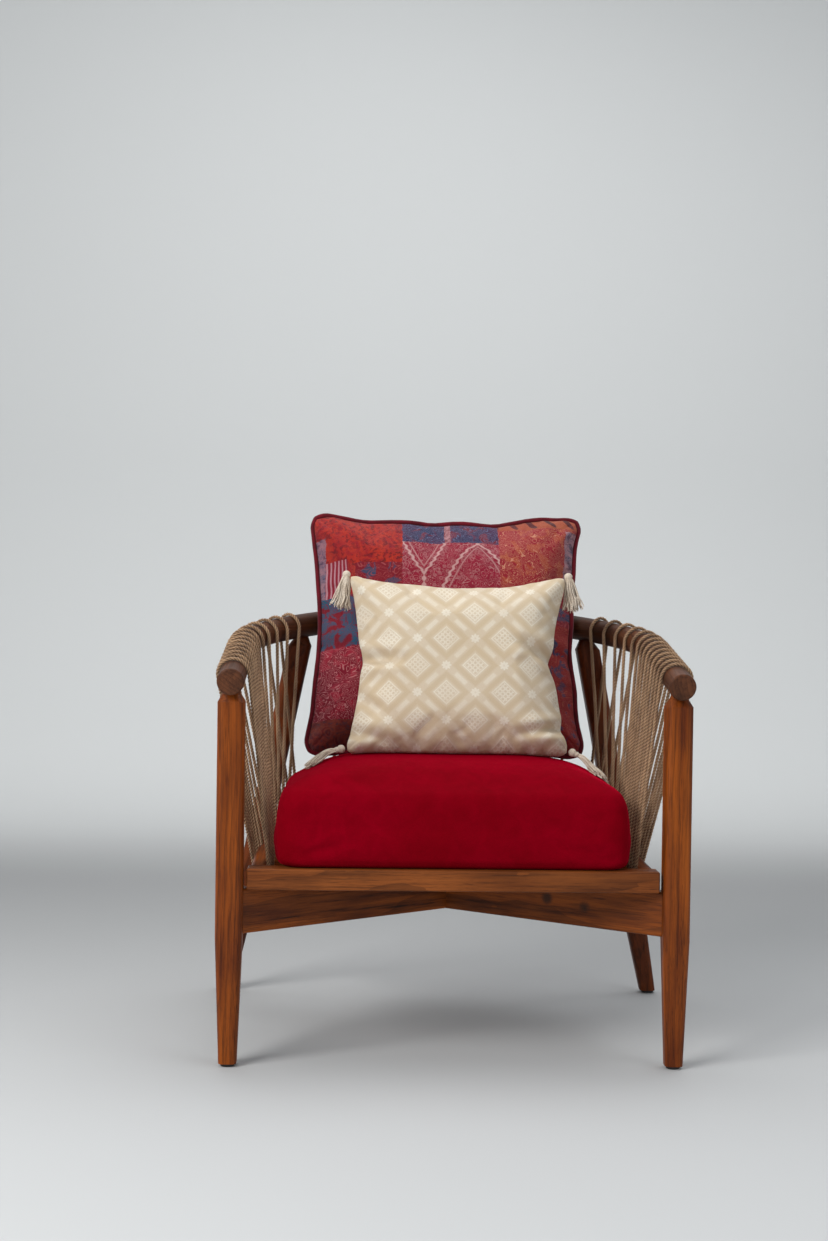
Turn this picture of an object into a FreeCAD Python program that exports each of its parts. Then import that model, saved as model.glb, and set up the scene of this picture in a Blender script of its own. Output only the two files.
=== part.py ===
import FreeCAD, Part
import math
import os
import Sketcher

# Woven armchair. A tilted round hardwood rail forms both arms and the back. It stands on
# two upright front legs and two splayed back legs, tied by a crossed brace that carries
# the seat frame. Cord is laced between the rail and the seat frame, and a box cushion,
# a large back cushion and a small tasselled cushion lie loose on the frame.
# Millimetres. X is the width, Y runs from the front to the back, Z is up. The pieces are
# laid out about the front legs' axes, and their placements then centre the chair.

SIZES = {
    "fit_gap": 0.15,
    "rest_gap": 0.3,
    "overrun": 5.0,
    "rail_diameter": 42.0,
    "rail_half_width": 346.0,
    "rail_corner_radius": 250.0,
    "rail_corner_angle": 33.41,
    "rail_depth": 532.5,
    "rail_height": 600.5,
    "rail_tilt": 9.61,
    "rail_overhang": 35.0,
    "rail_end_round": 3.0,
    "rail_dowel_diameter": 12.0,
    "rail_dowel_length": 50.0,
    "leg_width": 42.0,
    "leg_corner": 11.0,
    "leg_foot_width": 28.0,
    "leg_foot_corner": 8.0,
    "leg_taper_height": 200.0,
    "leg_neck_diameter": 25.0,
    "leg_neck_height": 16.0,
    "leg_tenon_diameter": 18.0,
    "leg_tenon_depth": 24.0,
    "back_foot_splay": 44.0,
    "back_foot_inset": 22.5,
    "back_leg_angle": 46.6,
    "glide_diameter": 22.0,
    "glide_height": 5.0,
    "glide_pin_diameter": 4.0,
    "glide_pin_length": 14.0,
    "brace_bottom": 204.0,
    "brace_height": 70.0,
    "brace_thickness": 25.0,
    "brace_corner": 4.0,
    "brace_tenon_height": 46.0,
    "brace_tenon_thickness": 10.0,
    "brace_tenon_depth": 14.0,
    "pad_length": 30.0,
    "board_height": 33.0,
    "board_depth": 38.0,
    "board_reach": 12.0,
    "board_leg_gap": 5.5,
    "hoop_inset": 42.0,
    "hoop_width": 26.0,
    "hoop_height": 26.0,
    "hoop_corner": 8.0,
    "hoop_dowel_diameter": 8.0,
    "hoop_dowel_length": 36.0,
    "slat_height": 12.0,
    "slat_gap": 22.0,
    "slat_first": 80.0,
    "slat_rear_margin": 72.2,
    "slat_end_gap": 3.0,
    "slat_corner": 3.0,
    "bearer_width": 24.0,
    "bearer_spread": 150.0,
    "bearer_housing": 8.0,
    "bearer_tail": 8.0,
    "screw_diameter": 5.0,
    "screw_head_diameter": 10.0,
    "screw_head_height": 4.0,
    "screw_counterbore": 38.0,
    "screw_bite": 15.0,
    "screw_end_margin": 7.5,
    "screw_back_margin": 8.0,
    "cord_diameter": 6.5,
    "side_lace_start": 24.0,
    "side_lace_margin": 35.6,
    "side_lace_pitch": 27.0,
    "side_foot_start": 34.0,
    "side_foot_margin": 24.6,
    "side_foot_pitch": 25.0,
    "back_lace_margin": 46.0,
    "back_foot_margin": 33.0,
    "seat_side_gap": 12.0,
    "seat_front_reach": 12.0,
    "seat_back_gap": 7.0,
    "seat_side_height": 118.0,
    "seat_crown": 36.0,
    "seat_edge": 24.0,
    "seat_corner_radius": 34.0,
    "back_half_width": 241.0,
    "back_half_height": 220.0,
    "back_front_thickness": 68.0,
    "back_rear_thickness": 44.0,
    "back_draw_in": 20.0,
    "back_corner": 20.0,
    "back_lean_angle": 16.0,
    "back_rail_distance": 117.0,
    "back_sink": 11.6,
    "piping_diameter": 8.0,
    "small_half_width": 190.0,
    "small_half_height": 158.0,
    "small_front_thickness": 56.0,
    "small_rear_thickness": 46.0,
    "small_draw_in": 26.0,
    "small_corner": 16.0,
    "small_lean_angle": 16.0,
    "small_middle_x": 16.0,
    "small_back_distance": 117.3,
    "small_sink": -1.0,
    "tassel_length": 62.0,
    "tassel_head": 14.0,
    "tassel_neck": 8.0,
    "tassel_skirt": 26.0,
}

# Turns of cord over the rail, and how many stations a cord moves on at each turn.
SIDE_TURNS = 14
SIDE_STEP = 6
BACK_TURNS = 13
BACK_STEP = 3
CORD_SIDES = 6
RAIL_BENDS = 5
PIPING_SIDES = 8
PIPING_SIDE_RUNS = 6
PIPING_CORNER_RUNS = 10
SLATS = 5

doc = FreeCAD.newDocument("WovenArmchair")
sheet = doc.addObject("Spreadsheet::Sheet", "Sizes")
for row, (alias, number) in enumerate(SIZES.items(), 1):
    sheet.set("A%d" % row, alias)
    sheet.set("B%d" % row, str(number))
    sheet.setAlias("B%d" % row, alias)
doc.recompute()

Vector = FreeCAD.Vector
UP = Vector(0, 0, 1)
ALONG_X = Vector(1, 0, 0)
ALONG_Y = Vector(0, 1, 0)
pieces = []


def size(alias):
    return float(getattr(sheet, alias))


def value(formula):
    return float(sheet.evalExpression(formula))


# Layout worked out from the sheet.
gap = size("rest_gap")
fit = size("fit_gap")
overrun = size("overrun")
tilt = math.radians(size("rail_tilt"))
rail_radius = size("rail_diameter") / 2
half_width = size("rail_half_width")
corner_radius = size("rail_corner_radius")
corner_x = half_width - corner_radius
corner_turn = math.radians(size("rail_corner_angle"))
back_radius = corner_radius + corner_x / math.cos(corner_turn)
centre_step = corner_x * math.tan(corner_turn)
BACK_RADIUS = (
    "Sizes.rail_corner_radius"
    " + (Sizes.rail_half_width - Sizes.rail_corner_radius) / cos(Sizes.rail_corner_angle * 1 deg)"
)
leg_angle = math.radians(size("back_leg_angle"))

# The rail's own plane: X as the chair, the second coordinate along the slope.
rail_centre = size("rail_depth") - back_radius
rail_straight = rail_centre + centre_step
rail_plane = FreeCAD.Placement(
    Vector(0, 0, size("rail_height")), FreeCAD.Rotation(ALONG_X, math.degrees(tilt))
)

# The seat frame's plan follows the rail's plan, set in by hoop_inset.
inset = size("hoop_inset")
hoop_half_width = half_width - inset
hoop_corner_radius = corner_radius - inset
hoop_back_radius = back_radius - inset
hoop_centre = size("rail_depth") * math.cos(tilt) - back_radius
hoop_straight = hoop_centre + centre_step
brace_top = size("brace_bottom") + size("brace_height")
seat_top = brace_top + size("board_height")
hoop_middle = seat_top - size("hoop_height") / 2
board_back = size("board_depth") - size("board_reach")

# The back legs run in one line from the foot to the rail's axis.
rail_leg_point = rail_plane.multVec(
    Vector(
        back_radius * math.cos(leg_angle), rail_centre + back_radius * math.sin(leg_angle), 0
    )
)
back_foot = Vector(
    half_width + size("back_foot_splay"), size("rail_depth") - size("back_foot_inset"), 0
)

end_round = size("rail_end_round")
front_reach = end_round + (size("rail_overhang") - end_round) * math.cos(tilt)
front_reach += (rail_radius - end_round) * math.sin(tilt)
lace_radius = rail_radius + gap + size("cord_diameter") / 2
back_reach = size("rail_depth") + lace_radius / math.cos(math.pi / (2 * RAIL_BENDS))
back_reach = back_reach * math.cos(tilt) + size("cord_diameter") / 2
centre_y = (back_reach - front_reach) / 2


def axes_rotation(x_axis, normal):
    """A turn that puts a sketch's own X on x_axis and its normal on normal."""
    return FreeCAD.Rotation(x_axis, normal.cross(x_axis), normal, "ZXY")


def name_piece(piece, label):
    piece.Label = label
    pieces.append(piece)


def new_body(label):
    body = doc.addObject("PartDesign::Body", label)
    name_piece(body, label)
    return body


def new_sketch(body, base=Vector(), rotation=FreeCAD.Rotation()):
    sketch = body.newObject("Sketcher::SketchObject", body.Label + "_sketch")
    plane = next(item for item in body.Origin.OriginFeatures if item.Role == "XY_Plane")
    sketch.AttachmentSupport = (plane, [""])
    sketch.MapMode = "FlatFace"
    sketch.AttachmentOffset = FreeCAD.Placement(base, rotation)
    return sketch


def dimension(sketch, kind, where, name, formula):
    index = sketch.addConstraint(Sketcher.Constraint(kind, *where, value(formula)))
    sketch.renameConstraint(index, name)
    sketch.setExpression("Constraints." + name, formula)


def draw_circle(sketch, diameter, away="0"):
    """A circle on the sketch's X axis, away from its origin."""
    centre = Vector(value(away), 0, 0)
    circle = sketch.addGeometry(Part.Circle(centre, UP, value(diameter) / 2))
    dimension(sketch, "Diameter", [circle], "diameter", diameter)
    if away == "0":
        sketch.addConstraint(Sketcher.Constraint("Coincident", circle, 3, -1, 1))
    else:
        sketch.addConstraint(Sketcher.Constraint("PointOnObject", circle, 3, -1))
        dimension(sketch, "DistanceX", [-1, 1, circle, 3], "away", away)


def draw_box(sketch, width, height, corner, away="0"):
    """A rectangle with round corners about the sketch's origin, or away along its X."""
    middle = value(away)
    r = value(corner)
    w = value(width) / 2
    h = value(height) / 2
    turns = [(w - r, r - h, -90), (w - r, h - r, 0), (r - w, h - r, 90), (r - w, r - h, 180)]
    sides = [
        ((r - w, -h), (w - r, -h)),
        ((w, r - h), (w, h - r)),
        ((w - r, h), (r - w, h)),
        ((-w, h - r), (-w, r - h)),
    ]
    for (start, end), (x, y, angle) in zip(sides, turns):
        ends = [Vector(point[0] + middle, point[1], 0) for point in (start, end)]
        sketch.addGeometry(Part.LineSegment(*ends))
        full = Part.Circle(Vector(x + middle, y, 0), UP, r)
        sweep = [math.radians(angle), math.radians(angle + 90)]
        sketch.addGeometry(Part.ArcOfCircle(full, *sweep))
    for edge in range(8):
        sketch.addConstraint(Sketcher.Constraint("Tangent", edge, 2, (edge + 1) % 8, 1))
    for line, kind in zip((0, 2, 4, 6), ("Horizontal", "Vertical", "Horizontal", "Vertical")):
        sketch.addConstraint(Sketcher.Constraint(kind, line))
    for arc in (3, 5, 7):
        sketch.addConstraint(Sketcher.Constraint("Equal", 1, arc))
    dimension(sketch, "Radius", [1], "corner", corner)
    dimension(sketch, "DistanceX", [-1, 1, 2, 1], "right", "%s + (%s) / 2" % (away, width))
    dimension(sketch, "DistanceX", [-1, 1, 6, 1], "left", "%s - (%s) / 2" % (away, width))
    dimension(sketch, "DistanceY", [-1, 1, 4, 1], "top", "(%s) / 2" % height)
    dimension(sketch, "DistanceY", [-1, 1, 0, 1], "bottom", "-(%s) / 2" % height)


def draw_outline(sketch, points):
    """A closed outline of straight lines, pinned at its points."""
    count = len(points)
    for index, point in enumerate(points):
        following = points[(index + 1) % count]
        sketch.addGeometry(Part.LineSegment(Vector(*point, 0), Vector(*following, 0)))
    for index in range(count):
        sketch.addConstraint(Sketcher.Constraint("Coincident", index, 2, (index + 1) % count, 1))
    sketch.addConstraint([Sketcher.Constraint("Block", index) for index in range(count)])


def add_length(body, kind, sketch, length, side="One side", backwards=False):
    feature = body.newObject("PartDesign::" + kind, body.Label + "_" + kind.lower())
    feature.Profile = sketch
    feature.SideType = side
    feature.Reversed = backwards
    feature.setExpression("Length", length)
    doc.recompute()
    return feature


def pad(body, sketch, length, side="One side", backwards=False):
    return add_length(body, "Pad", sketch, length, side, backwards)


def pad_by(body, sketch, length):
    """A pad whose length is worked out from several pieces."""
    feature = body.newObject("PartDesign::Pad", body.Label + "_pad")
    feature.Profile = sketch
    feature.Length = length
    doc.recompute()
    return feature


def pocket(body, sketch, length, side="One side", backwards=False):
    before = body.Shape.Volume
    feature = add_length(body, "Pocket", sketch, length, side, backwards)
    if body.Shape.Volume >= before:
        raise ValueError("a pocket of %s cuts nothing" % body.Label)
    return feature


def turn_about(body, sketch, degrees, backwards=False):
    feature = body.newObject("PartDesign::Revolution", body.Label + "_bend")
    feature.Profile = sketch
    feature.ReferenceAxis = (sketch, ["V_Axis"])
    feature.Angle = degrees
    feature.Reversed = backwards
    doc.recompute()
    return feature


def loft(body, sections, kind="AdditiveLoft"):
    feature = body.newObject("PartDesign::" + kind, body.Label + "_loft")
    feature.Profile = sections[0]
    feature.Sections = sections[1:]
    feature.Ruled = True
    doc.recompute()
    return feature


def round_edges(body, radius, wanted):
    """Rounds the body's edges whose middle point passes the test."""
    names = []
    for index, edge in enumerate(body.Shape.Edges, 1):
        if wanted(edge.valueAt((edge.FirstParameter + edge.LastParameter) / 2), edge):
            names.append("Edge%d" % index)
    feature = body.newObject("PartDesign::Fillet", body.Label + "_round")
    feature.Base = (body.Tip if body.Tip != feature else feature.BaseFeature, names)
    feature.setExpression("Radius", radius)
    doc.recompute()
    return feature


def side_names():
    return (("left", -1), ("right", 1))


# Rail joints: where each arm meets the back, seen in the rail's own plane.

def joint_frame(side):
    """Point and direction on the rail's axis where an arm meets the back."""
    point = Vector(
        side * back_radius * math.cos(corner_turn),
        rail_centre + back_radius * math.sin(corner_turn),
        0,
    )
    along = Vector(-side * math.sin(corner_turn), math.cos(corner_turn), 0)
    return point, along


def dowel_sketch(body, side, diameter, into_arm):
    """Circle on the joint's face, looking into the arm or into the back."""
    point, along = joint_frame(side)
    normal = along * -1 if into_arm else along
    sketch = new_sketch(body, point, axes_rotation(UP, normal))
    draw_circle(sketch, diameter)
    return sketch


def leg_line(side, back):
    """Foot and head of a leg's centre line; the head is on the rail's axis."""
    if back:
        foot = Vector(side * back_foot.x, back_foot.y, 0)
        head = Vector(side * rail_leg_point.x, rail_leg_point.y, rail_leg_point.z)
    else:
        foot = Vector(side * half_width, 0, 0)
        head = Vector(side * half_width, 0, size("rail_height"))
    return foot, head


def leg_point(side, back, height):
    foot, head = leg_line(side, back)
    return foot + (head - foot) * (height / head.z)


def mortise_rail(body, side, back):
    """Round mortise up into the rail for a leg's tenon."""
    foot, head = leg_line(side, back)
    upward = (head - foot).normalize()
    start = head - upward * (rail_radius + overrun)
    across = ALONG_Y.cross(upward).normalize()
    here = FreeCAD.Placement(start, axes_rotation(across, upward))
    local = rail_plane.inverse().multiply(here)
    sketch = new_sketch(body, local.Base, local.Rotation)
    draw_circle(sketch, "Sizes.leg_tenon_diameter + 2 * Sizes.fit_gap")
    reach = "Sizes.rail_diameter / 2 + Sizes.overrun + Sizes.leg_tenon_depth"
    pocket(body, sketch, reach + " - Sizes.rail_diameter / 2 + Sizes.fit_gap", backwards=True)


def make_arm(name, side):
    arm = new_body("rail_%s_arm" % name)
    base = Vector(side * corner_x, rail_straight, 0)
    sketch = new_sketch(arm, base, axes_rotation(ALONG_X * side, ALONG_Y * -1))
    draw_circle(sketch, "Sizes.rail_diameter", "Sizes.rail_corner_radius")
    pad_by(arm, sketch, rail_straight + size("rail_overhang"))
    bend = turn_about(arm, sketch, math.degrees(corner_turn), backwards=(side > 0))
    far = rail_straight
    if arm.Shape.BoundBox.YMax < far + overrun:
        bend.Reversed = not bend.Reversed
        doc.recompute()
    tip = -size("rail_overhang")
    round_edges(arm, "Sizes.rail_end_round", lambda at, edge: abs(at.y - tip) < fit)
    dowel = dowel_sketch(arm, side, "Sizes.rail_dowel_diameter + 2 * Sizes.fit_gap", True)
    pocket(arm, dowel, "Sizes.rail_dowel_length / 2 + Sizes.fit_gap", backwards=True)
    mortise_rail(arm, side, False)
    arm.Placement = rail_plane


def make_rail_back():
    back = new_body("rail_back")
    start = Vector(math.cos(corner_turn), math.sin(corner_turn), 0)
    normal = Vector(-math.sin(corner_turn), math.cos(corner_turn), 0)
    sketch = new_sketch(back, Vector(0, rail_centre, 0), axes_rotation(start, normal * -1))
    draw_circle(sketch, "Sizes.rail_diameter", BACK_RADIUS)
    bend = turn_about(back, sketch, 180 - 2 * math.degrees(corner_turn))
    if back.Shape.BoundBox.YMax < rail_centre + back_radius:
        bend.Reversed = not bend.Reversed
        doc.recompute()
    for name, side in side_names():
        dowel = dowel_sketch(back, side, "Sizes.rail_dowel_diameter + 2 * Sizes.fit_gap", False)
        pocket(back, dowel, "Sizes.rail_dowel_length / 2 + Sizes.fit_gap", backwards=True)
        mortise_rail(back, side, True)
    back.Placement = rail_plane


def make_rail_dowel(name, side):
    dowel = new_body("rail_dowel_" + name)
    point, along = joint_frame(side)
    sketch = new_sketch(dowel, point, axes_rotation(UP, along))
    draw_circle(sketch, "Sizes.rail_dowel_diameter")
    pad(dowel, sketch, "Sizes.rail_dowel_length", "Symmetric")
    dowel.Placement = rail_plane


# Crossed brace: each bar runs from a front leg to the opposite back leg.

def brace_line(side):
    """Ends of a bar's centre line, on the legs' centre lines at the bar's mid height."""
    middle = size("brace_bottom") + size("brace_height") / 2
    return leg_point(side, False, middle), leg_point(-side, True, middle)


def brace_direction(side):
    front, back = brace_line(side)
    return (back - front).normalize()


def leg_section(body, side, back, height, width, corner, grow="0"):
    """Rounded square section of a leg, level with the floor."""
    sketch = new_sketch(body, leg_point(side, back, height))
    grown = "%s + 2 * (%s)" % (width, grow)
    draw_box(sketch, grown, grown, "%s + %s" % (corner, grow))
    return sketch


def make_leg(name, side, back):
    leg = new_body(("back_leg_" if back else "front_leg_") + name)
    foot, head = leg_line(side, back)
    neck = head.z - rail_radius / math.cos(tilt)
    shoulder = neck - size("leg_neck_height")
    full = ("Sizes.leg_width", "Sizes.leg_corner")
    thin = ("Sizes.leg_neck_diameter", "Sizes.leg_neck_diameter / 2 - Sizes.fit_gap")
    foot_size = ("Sizes.leg_foot_width", "Sizes.leg_foot_corner")
    levels = [
        (size("glide_height"), foot_size),
        (size("leg_taper_height"), full),
        (shoulder, full),
        (neck, thin),
        (head.z, thin),
    ]
    loft(leg, [leg_section(leg, side, back, height, *shape) for height, shape in levels])
    cope_top(leg, side, back, head)
    add_tenon(leg, side, back)
    cut_brace_mortise(leg, side, back)
    cut_glide_hole(leg, foot)


def rail_direction(side, back):
    """Direction of the rail's axis above a leg."""
    if not back:
        return rail_plane.Rotation.multVec(ALONG_Y)
    tangent = Vector(-side * math.sin(leg_angle), math.cos(leg_angle), 0)
    return rail_plane.Rotation.multVec(tangent)


def cope_top(leg, side, back, head):
    """Hollow in the leg's head, on which the round rail sits."""
    along = rail_direction(side, back)
    level = UP.cross(along).normalize()
    sketch = new_sketch(leg, head, axes_rotation(level, along))
    draw_circle(sketch, "Sizes.rail_diameter + 2 * Sizes.fit_gap")
    pocket(leg, sketch, "2 * Sizes.leg_width", "Symmetric")


def add_tenon(leg, side, back):
    foot, head = leg_line(side, back)
    upward = (head - foot).normalize()
    across = ALONG_Y.cross(upward).normalize()
    start = head - upward * (rail_radius + overrun)
    sketch = new_sketch(leg, start, axes_rotation(across, upward))
    draw_circle(sketch, "Sizes.leg_tenon_diameter")
    pad(leg, sketch, "Sizes.overrun + Sizes.leg_tenon_depth")


def cut_brace_mortise(leg, side, back):
    """Blind slot for the brace's tenon, on the face that looks at the other leg."""
    brace_side = -side if back else side
    direction = brace_direction(brace_side)
    toward = direction * -1 if back else direction
    front, rear = brace_line(brace_side)
    centre = rear if back else front
    bottom = centre + toward * brace_seat(back)
    sketch = new_sketch(leg, bottom, axes_rotation(UP, toward))
    draw_box(
        sketch,
        "Sizes.brace_tenon_height + 2 * Sizes.fit_gap",
        "Sizes.brace_tenon_thickness + 2 * Sizes.fit_gap",
        "Sizes.brace_tenon_thickness / 4",
    )
    pocket(leg, sketch, "Sizes.leg_width", backwards=True)


def brace_seat(back):
    """Distance from the leg's centre line to the bottom of its mortise."""
    return size("leg_width") / 2 - size("brace_tenon_depth")


def cut_glide_hole(leg, foot):
    start = Vector(foot.x, foot.y, size("glide_height") - overrun)
    sketch = new_sketch(leg, start)
    draw_circle(sketch, "Sizes.glide_pin_diameter + 2 * Sizes.fit_gap")
    reach = "Sizes.overrun + Sizes.glide_pin_length + Sizes.fit_gap"
    pocket(leg, sketch, reach, backwards=True)


def make_glide(name, side, back):
    """Dark foot glide: a button with a soft edge and its nail."""
    place = "back" if back else "front"
    glide = new_body("foot_glide_%s_%s" % (place, name))
    foot = leg_line(side, back)[0]
    button = new_sketch(glide)
    draw_circle(button, "Sizes.glide_diameter")
    pad(glide, button, "Sizes.glide_height")
    round_edges(glide, "Sizes.glide_height / 4", lambda at, edge: at.z < fit)
    nail = new_sketch(glide)
    draw_circle(nail, "Sizes.glide_pin_diameter")
    pad(glide, nail, "Sizes.glide_height + Sizes.glide_pin_length")
    glide.Placement = FreeCAD.Placement(foot, FreeCAD.Rotation())


def make_brace(name, side):
    """Bar on edge with a tenon at each end, halved where it crosses the other bar."""
    bar = new_body("cross_brace_" + name)
    front, back = brace_line(side)
    direction = (back - front).normalize()
    length = (back - front).Length
    across = UP.cross(direction)
    section = new_sketch(bar, front, axes_rotation(across, direction))
    draw_box(section, "Sizes.brace_thickness", "Sizes.brace_height", "Sizes.brace_corner")
    pad_by(bar, section, length)
    add_landing(bar, side, direction, across)
    low = size("brace_bottom") - overrun
    high = seat_top + overrun
    for leg_side, is_back in ((side, False), (-side, True)):
        full = ("Sizes.leg_width", "Sizes.leg_corner", "Sizes.fit_gap")
        ends = [leg_section(bar, leg_side, is_back, height, *full) for height in (low, high)]
        loft(bar, ends, "SubtractiveLoft")
    for start, toward, is_back in ((front, direction, False), (back, direction * -1, True)):
        bottom = start + toward * (brace_seat(is_back) + fit)
        tenon = new_sketch(bar, bottom, axes_rotation(UP, toward))
        draw_box(
            tenon,
            "Sizes.brace_tenon_height",
            "Sizes.brace_tenon_thickness",
            "Sizes.brace_tenon_thickness / 4",
        )
        pad(bar, tenon, "Sizes.leg_width")
    cut_halving(bar, side, front, direction)
    cut_screw_holes(bar, side)


def hoop_crossing(side):
    """Plan point where a bar passes under the seat frame's back rail."""
    front, back = brace_line(side)
    direction = (back - front).normalize()
    relative = Vector(front.x, front.y - hoop_centre, 0)
    level = Vector(direction.x, direction.y, 0)
    half_b = relative.dot(level)
    step = -half_b + math.sqrt(half_b ** 2 - relative.dot(relative) + hoop_back_radius ** 2)
    return Vector(front.x + level.x * step, front.y + level.y * step, 0)


def add_landing(bar, side, direction, across):
    """Raised landing on the bar's top edge, under the seat frame's back rail."""
    spot = hoop_crossing(side)
    foot = Vector(spot.x, spot.y, brace_top - size("brace_corner"))
    landing = new_sketch(bar, foot, axes_rotation(direction, UP))
    draw_box(
        landing,
        "Sizes.pad_length",
        "Sizes.brace_thickness - 2 * Sizes.brace_corner",
        "Sizes.brace_corner / 2",
    )
    pad(bar, landing, "Sizes.brace_corner + Sizes.board_height - Sizes.hoop_height")


def cut_halving(bar, side, front, direction):
    """Notch for the other bar, from above in one bar and from below in the other."""
    step = -front.x / direction.x
    crossing = front + direction * step
    other = brace_direction(-side)
    notch = new_sketch(bar, crossing, axes_rotation(other, UP))
    draw_box(
        notch,
        "4 * Sizes.brace_thickness",
        "Sizes.brace_thickness + 2 * Sizes.fit_gap",
        "Sizes.fit_gap",
    )
    notch.AttachmentOffset = FreeCAD.Placement(
        crossing - UP * (side * fit / 2), axes_rotation(other, UP)
    )
    pocket(bar, notch, "Sizes.brace_height", backwards=(side > 0))


def screw_spots():
    """Plan points of the screws: two in the front board, two in the back rail."""
    spots = []
    board_end = half_width - size("leg_width") / 2 - size("board_leg_gap")
    x = board_end - size("screw_end_margin")
    y = board_back - size("screw_back_margin")
    for name, side in side_names():
        spots.append((side, Vector(side * x, y, 0), brace_top))
        rear = hoop_crossing(side)
        spots.append((side, rear, seat_top - size("hoop_height")))
    return spots


def cut_screw_holes(bar, side):
    for screw_side, spot, seat in screw_spots():
        if screw_side != side:
            continue
        low = Vector(spot.x, spot.y, size("brace_bottom") - overrun)
        wide = new_sketch(bar, low)
        draw_circle(wide, "Sizes.screw_head_diameter + 2 * Sizes.fit_gap")
        pocket(bar, wide, "Sizes.overrun + Sizes.screw_counterbore", backwards=True)
        narrow = new_sketch(bar, low)
        draw_circle(narrow, "Sizes.screw_diameter + 2 * Sizes.fit_gap")
        reach = "2 * Sizes.overrun + Sizes.brace_height + Sizes.board_height"
        pocket(bar, narrow, reach, backwards=True)


def bore_for_screws(body, wanted_seat):
    """Pilot holes up into the front board or the back rail."""
    for side, spot, seat in screw_spots():
        if abs(seat - wanted_seat) > fit:
            continue
        hole = new_sketch(body, Vector(spot.x, spot.y, seat - overrun))
        draw_circle(hole, "Sizes.screw_diameter + 2 * Sizes.fit_gap")
        pocket(body, hole, "Sizes.overrun + Sizes.screw_bite + Sizes.fit_gap", backwards=True)


def make_screws():
    """Screws up through the brace: a round head in its counterbore and a shank."""
    solids = []
    head_seat = size("brace_bottom") + size("screw_counterbore")
    for side, spot, seat in screw_spots():
        low = Vector(spot.x, spot.y, head_seat - size("screw_head_height"))
        head = Part.makeCylinder(size("screw_head_diameter") / 2, size("screw_head_height"), low)
        length = seat + size("screw_bite") - low.z
        shank = Part.makeCylinder(size("screw_diameter") / 2, length, low)
        solids.append(head.fuse(shank).removeSplitter())
    add_shape("seat_screws", Part.makeCompound(solids))


# Seat frame: front board, two bent side rails and a bent back rail.

def make_board():
    board = new_body("seat_front_board")
    length = half_width - size("leg_width") / 2 - size("board_leg_gap")
    middle = size("board_depth") / 2 - size("board_reach")
    base = Vector(-length, middle, seat_top - size("board_height") / 2)
    section = new_sketch(board, base, axes_rotation(ALONG_Y, ALONG_X))
    draw_box(section, "Sizes.board_depth", "Sizes.board_height", "Sizes.slat_corner")
    formula = "2 * (Sizes.rail_half_width - Sizes.leg_width / 2 - Sizes.board_leg_gap)"
    pad(board, section, formula)
    front = -size("board_reach")

    def front_edge(at, edge):
        return at.y < front + size("slat_corner") and abs(abs(at.x) - length) < fit

    round_edges(board, "Sizes.slat_corner", front_edge)
    for name, side in side_names():
        dowel = new_sketch(
            board,
            Vector(side * hoop_half_width, board_back + overrun, hoop_middle),
            axes_rotation(ALONG_X, ALONG_Y * -1),
        )
        draw_circle(dowel, "Sizes.hoop_dowel_diameter + 2 * Sizes.fit_gap")
        reach = "Sizes.overrun + Sizes.hoop_dowel_length / 2 + Sizes.fit_gap"
        pocket(board, dowel, reach, backwards=True)
    bore_for_screws(board, brace_top)
    cut_housings(board)


def hoop_joint(side):
    """Point and direction on the seat frame's centre line where side and back meet."""
    point = Vector(
        side * hoop_back_radius * math.cos(corner_turn),
        hoop_centre + hoop_back_radius * math.sin(corner_turn),
        hoop_middle,
    )
    along = Vector(-side * math.sin(corner_turn), math.cos(corner_turn), 0)
    return point, along


def bore_hoop(body, side, into_side):
    point, along = hoop_joint(side)
    normal = along * -1 if into_side else along
    dowel = new_sketch(body, point - normal * overrun, axes_rotation(UP, normal))
    draw_circle(dowel, "Sizes.hoop_dowel_diameter + 2 * Sizes.fit_gap")
    reach = "Sizes.overrun + Sizes.hoop_dowel_length / 2 + Sizes.fit_gap"
    pocket(body, dowel, reach, backwards=True)


# The slats lie clear of the cords inside the frame, and share the deck between the front
# board and a margin behind the last of them.
deck_inset = size("hoop_width") / 2 + gap + size("cord_diameter") + size("slat_end_gap")
slats_end = hoop_centre + hoop_back_radius - deck_inset - size("slat_rear_margin")
slat_pitch = (slats_end + size("slat_gap") - size("slat_first")) / SLATS


def deck_x(y):
    """Half the length of the seat deck at a depth."""
    if y < hoop_straight:
        return hoop_half_width - deck_inset
    radius = hoop_corner_radius - deck_inset
    if y - hoop_straight < radius * math.sin(corner_turn):
        return corner_x + math.sqrt(radius ** 2 - (y - hoop_straight) ** 2)
    radius = hoop_back_radius - deck_inset
    return math.sqrt(radius ** 2 - (y - hoop_centre) ** 2)


def make_slat(index):
    front = size("slat_first") + index * slat_pitch
    back = front + slat_pitch - size("slat_gap")
    slat = new_body("seat_slat_%d" % (index + 1))
    sketch = new_sketch(slat, Vector(0, 0, seat_top - size("slat_height")))
    x_front, x_back = deck_x(front), deck_x(back)
    draw_outline(sketch, [(-x_front, front), (x_front, front), (x_back, back), (-x_back, back)])
    pad(slat, sketch, "Sizes.slat_height")
    top = seat_top
    round_edges(
        slat,
        "Sizes.slat_corner",
        lambda at, edge: abs(at.z - top) < fit and abs(at.x) < fit,
    )


def make_bearer(name, side):
    """Long bearer under the slats: housed in the front board, it lies on both braces."""
    bearer = new_body("seat_bearer_" + name)
    middle = (brace_top + seat_top - size("slat_height")) / 2
    front = board_back - size("bearer_housing")
    base = Vector(side * size("bearer_spread"), front, middle)
    sketch = new_sketch(bearer, base, axes_rotation(ALONG_X, ALONG_Y))
    height = "Sizes.board_height - Sizes.slat_height - 2 * Sizes.fit_gap"
    draw_box(sketch, "Sizes.bearer_width", height, "Sizes.slat_corner")
    pad_by(bearer, sketch, slats_end + size("bearer_tail") - front)


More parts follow.
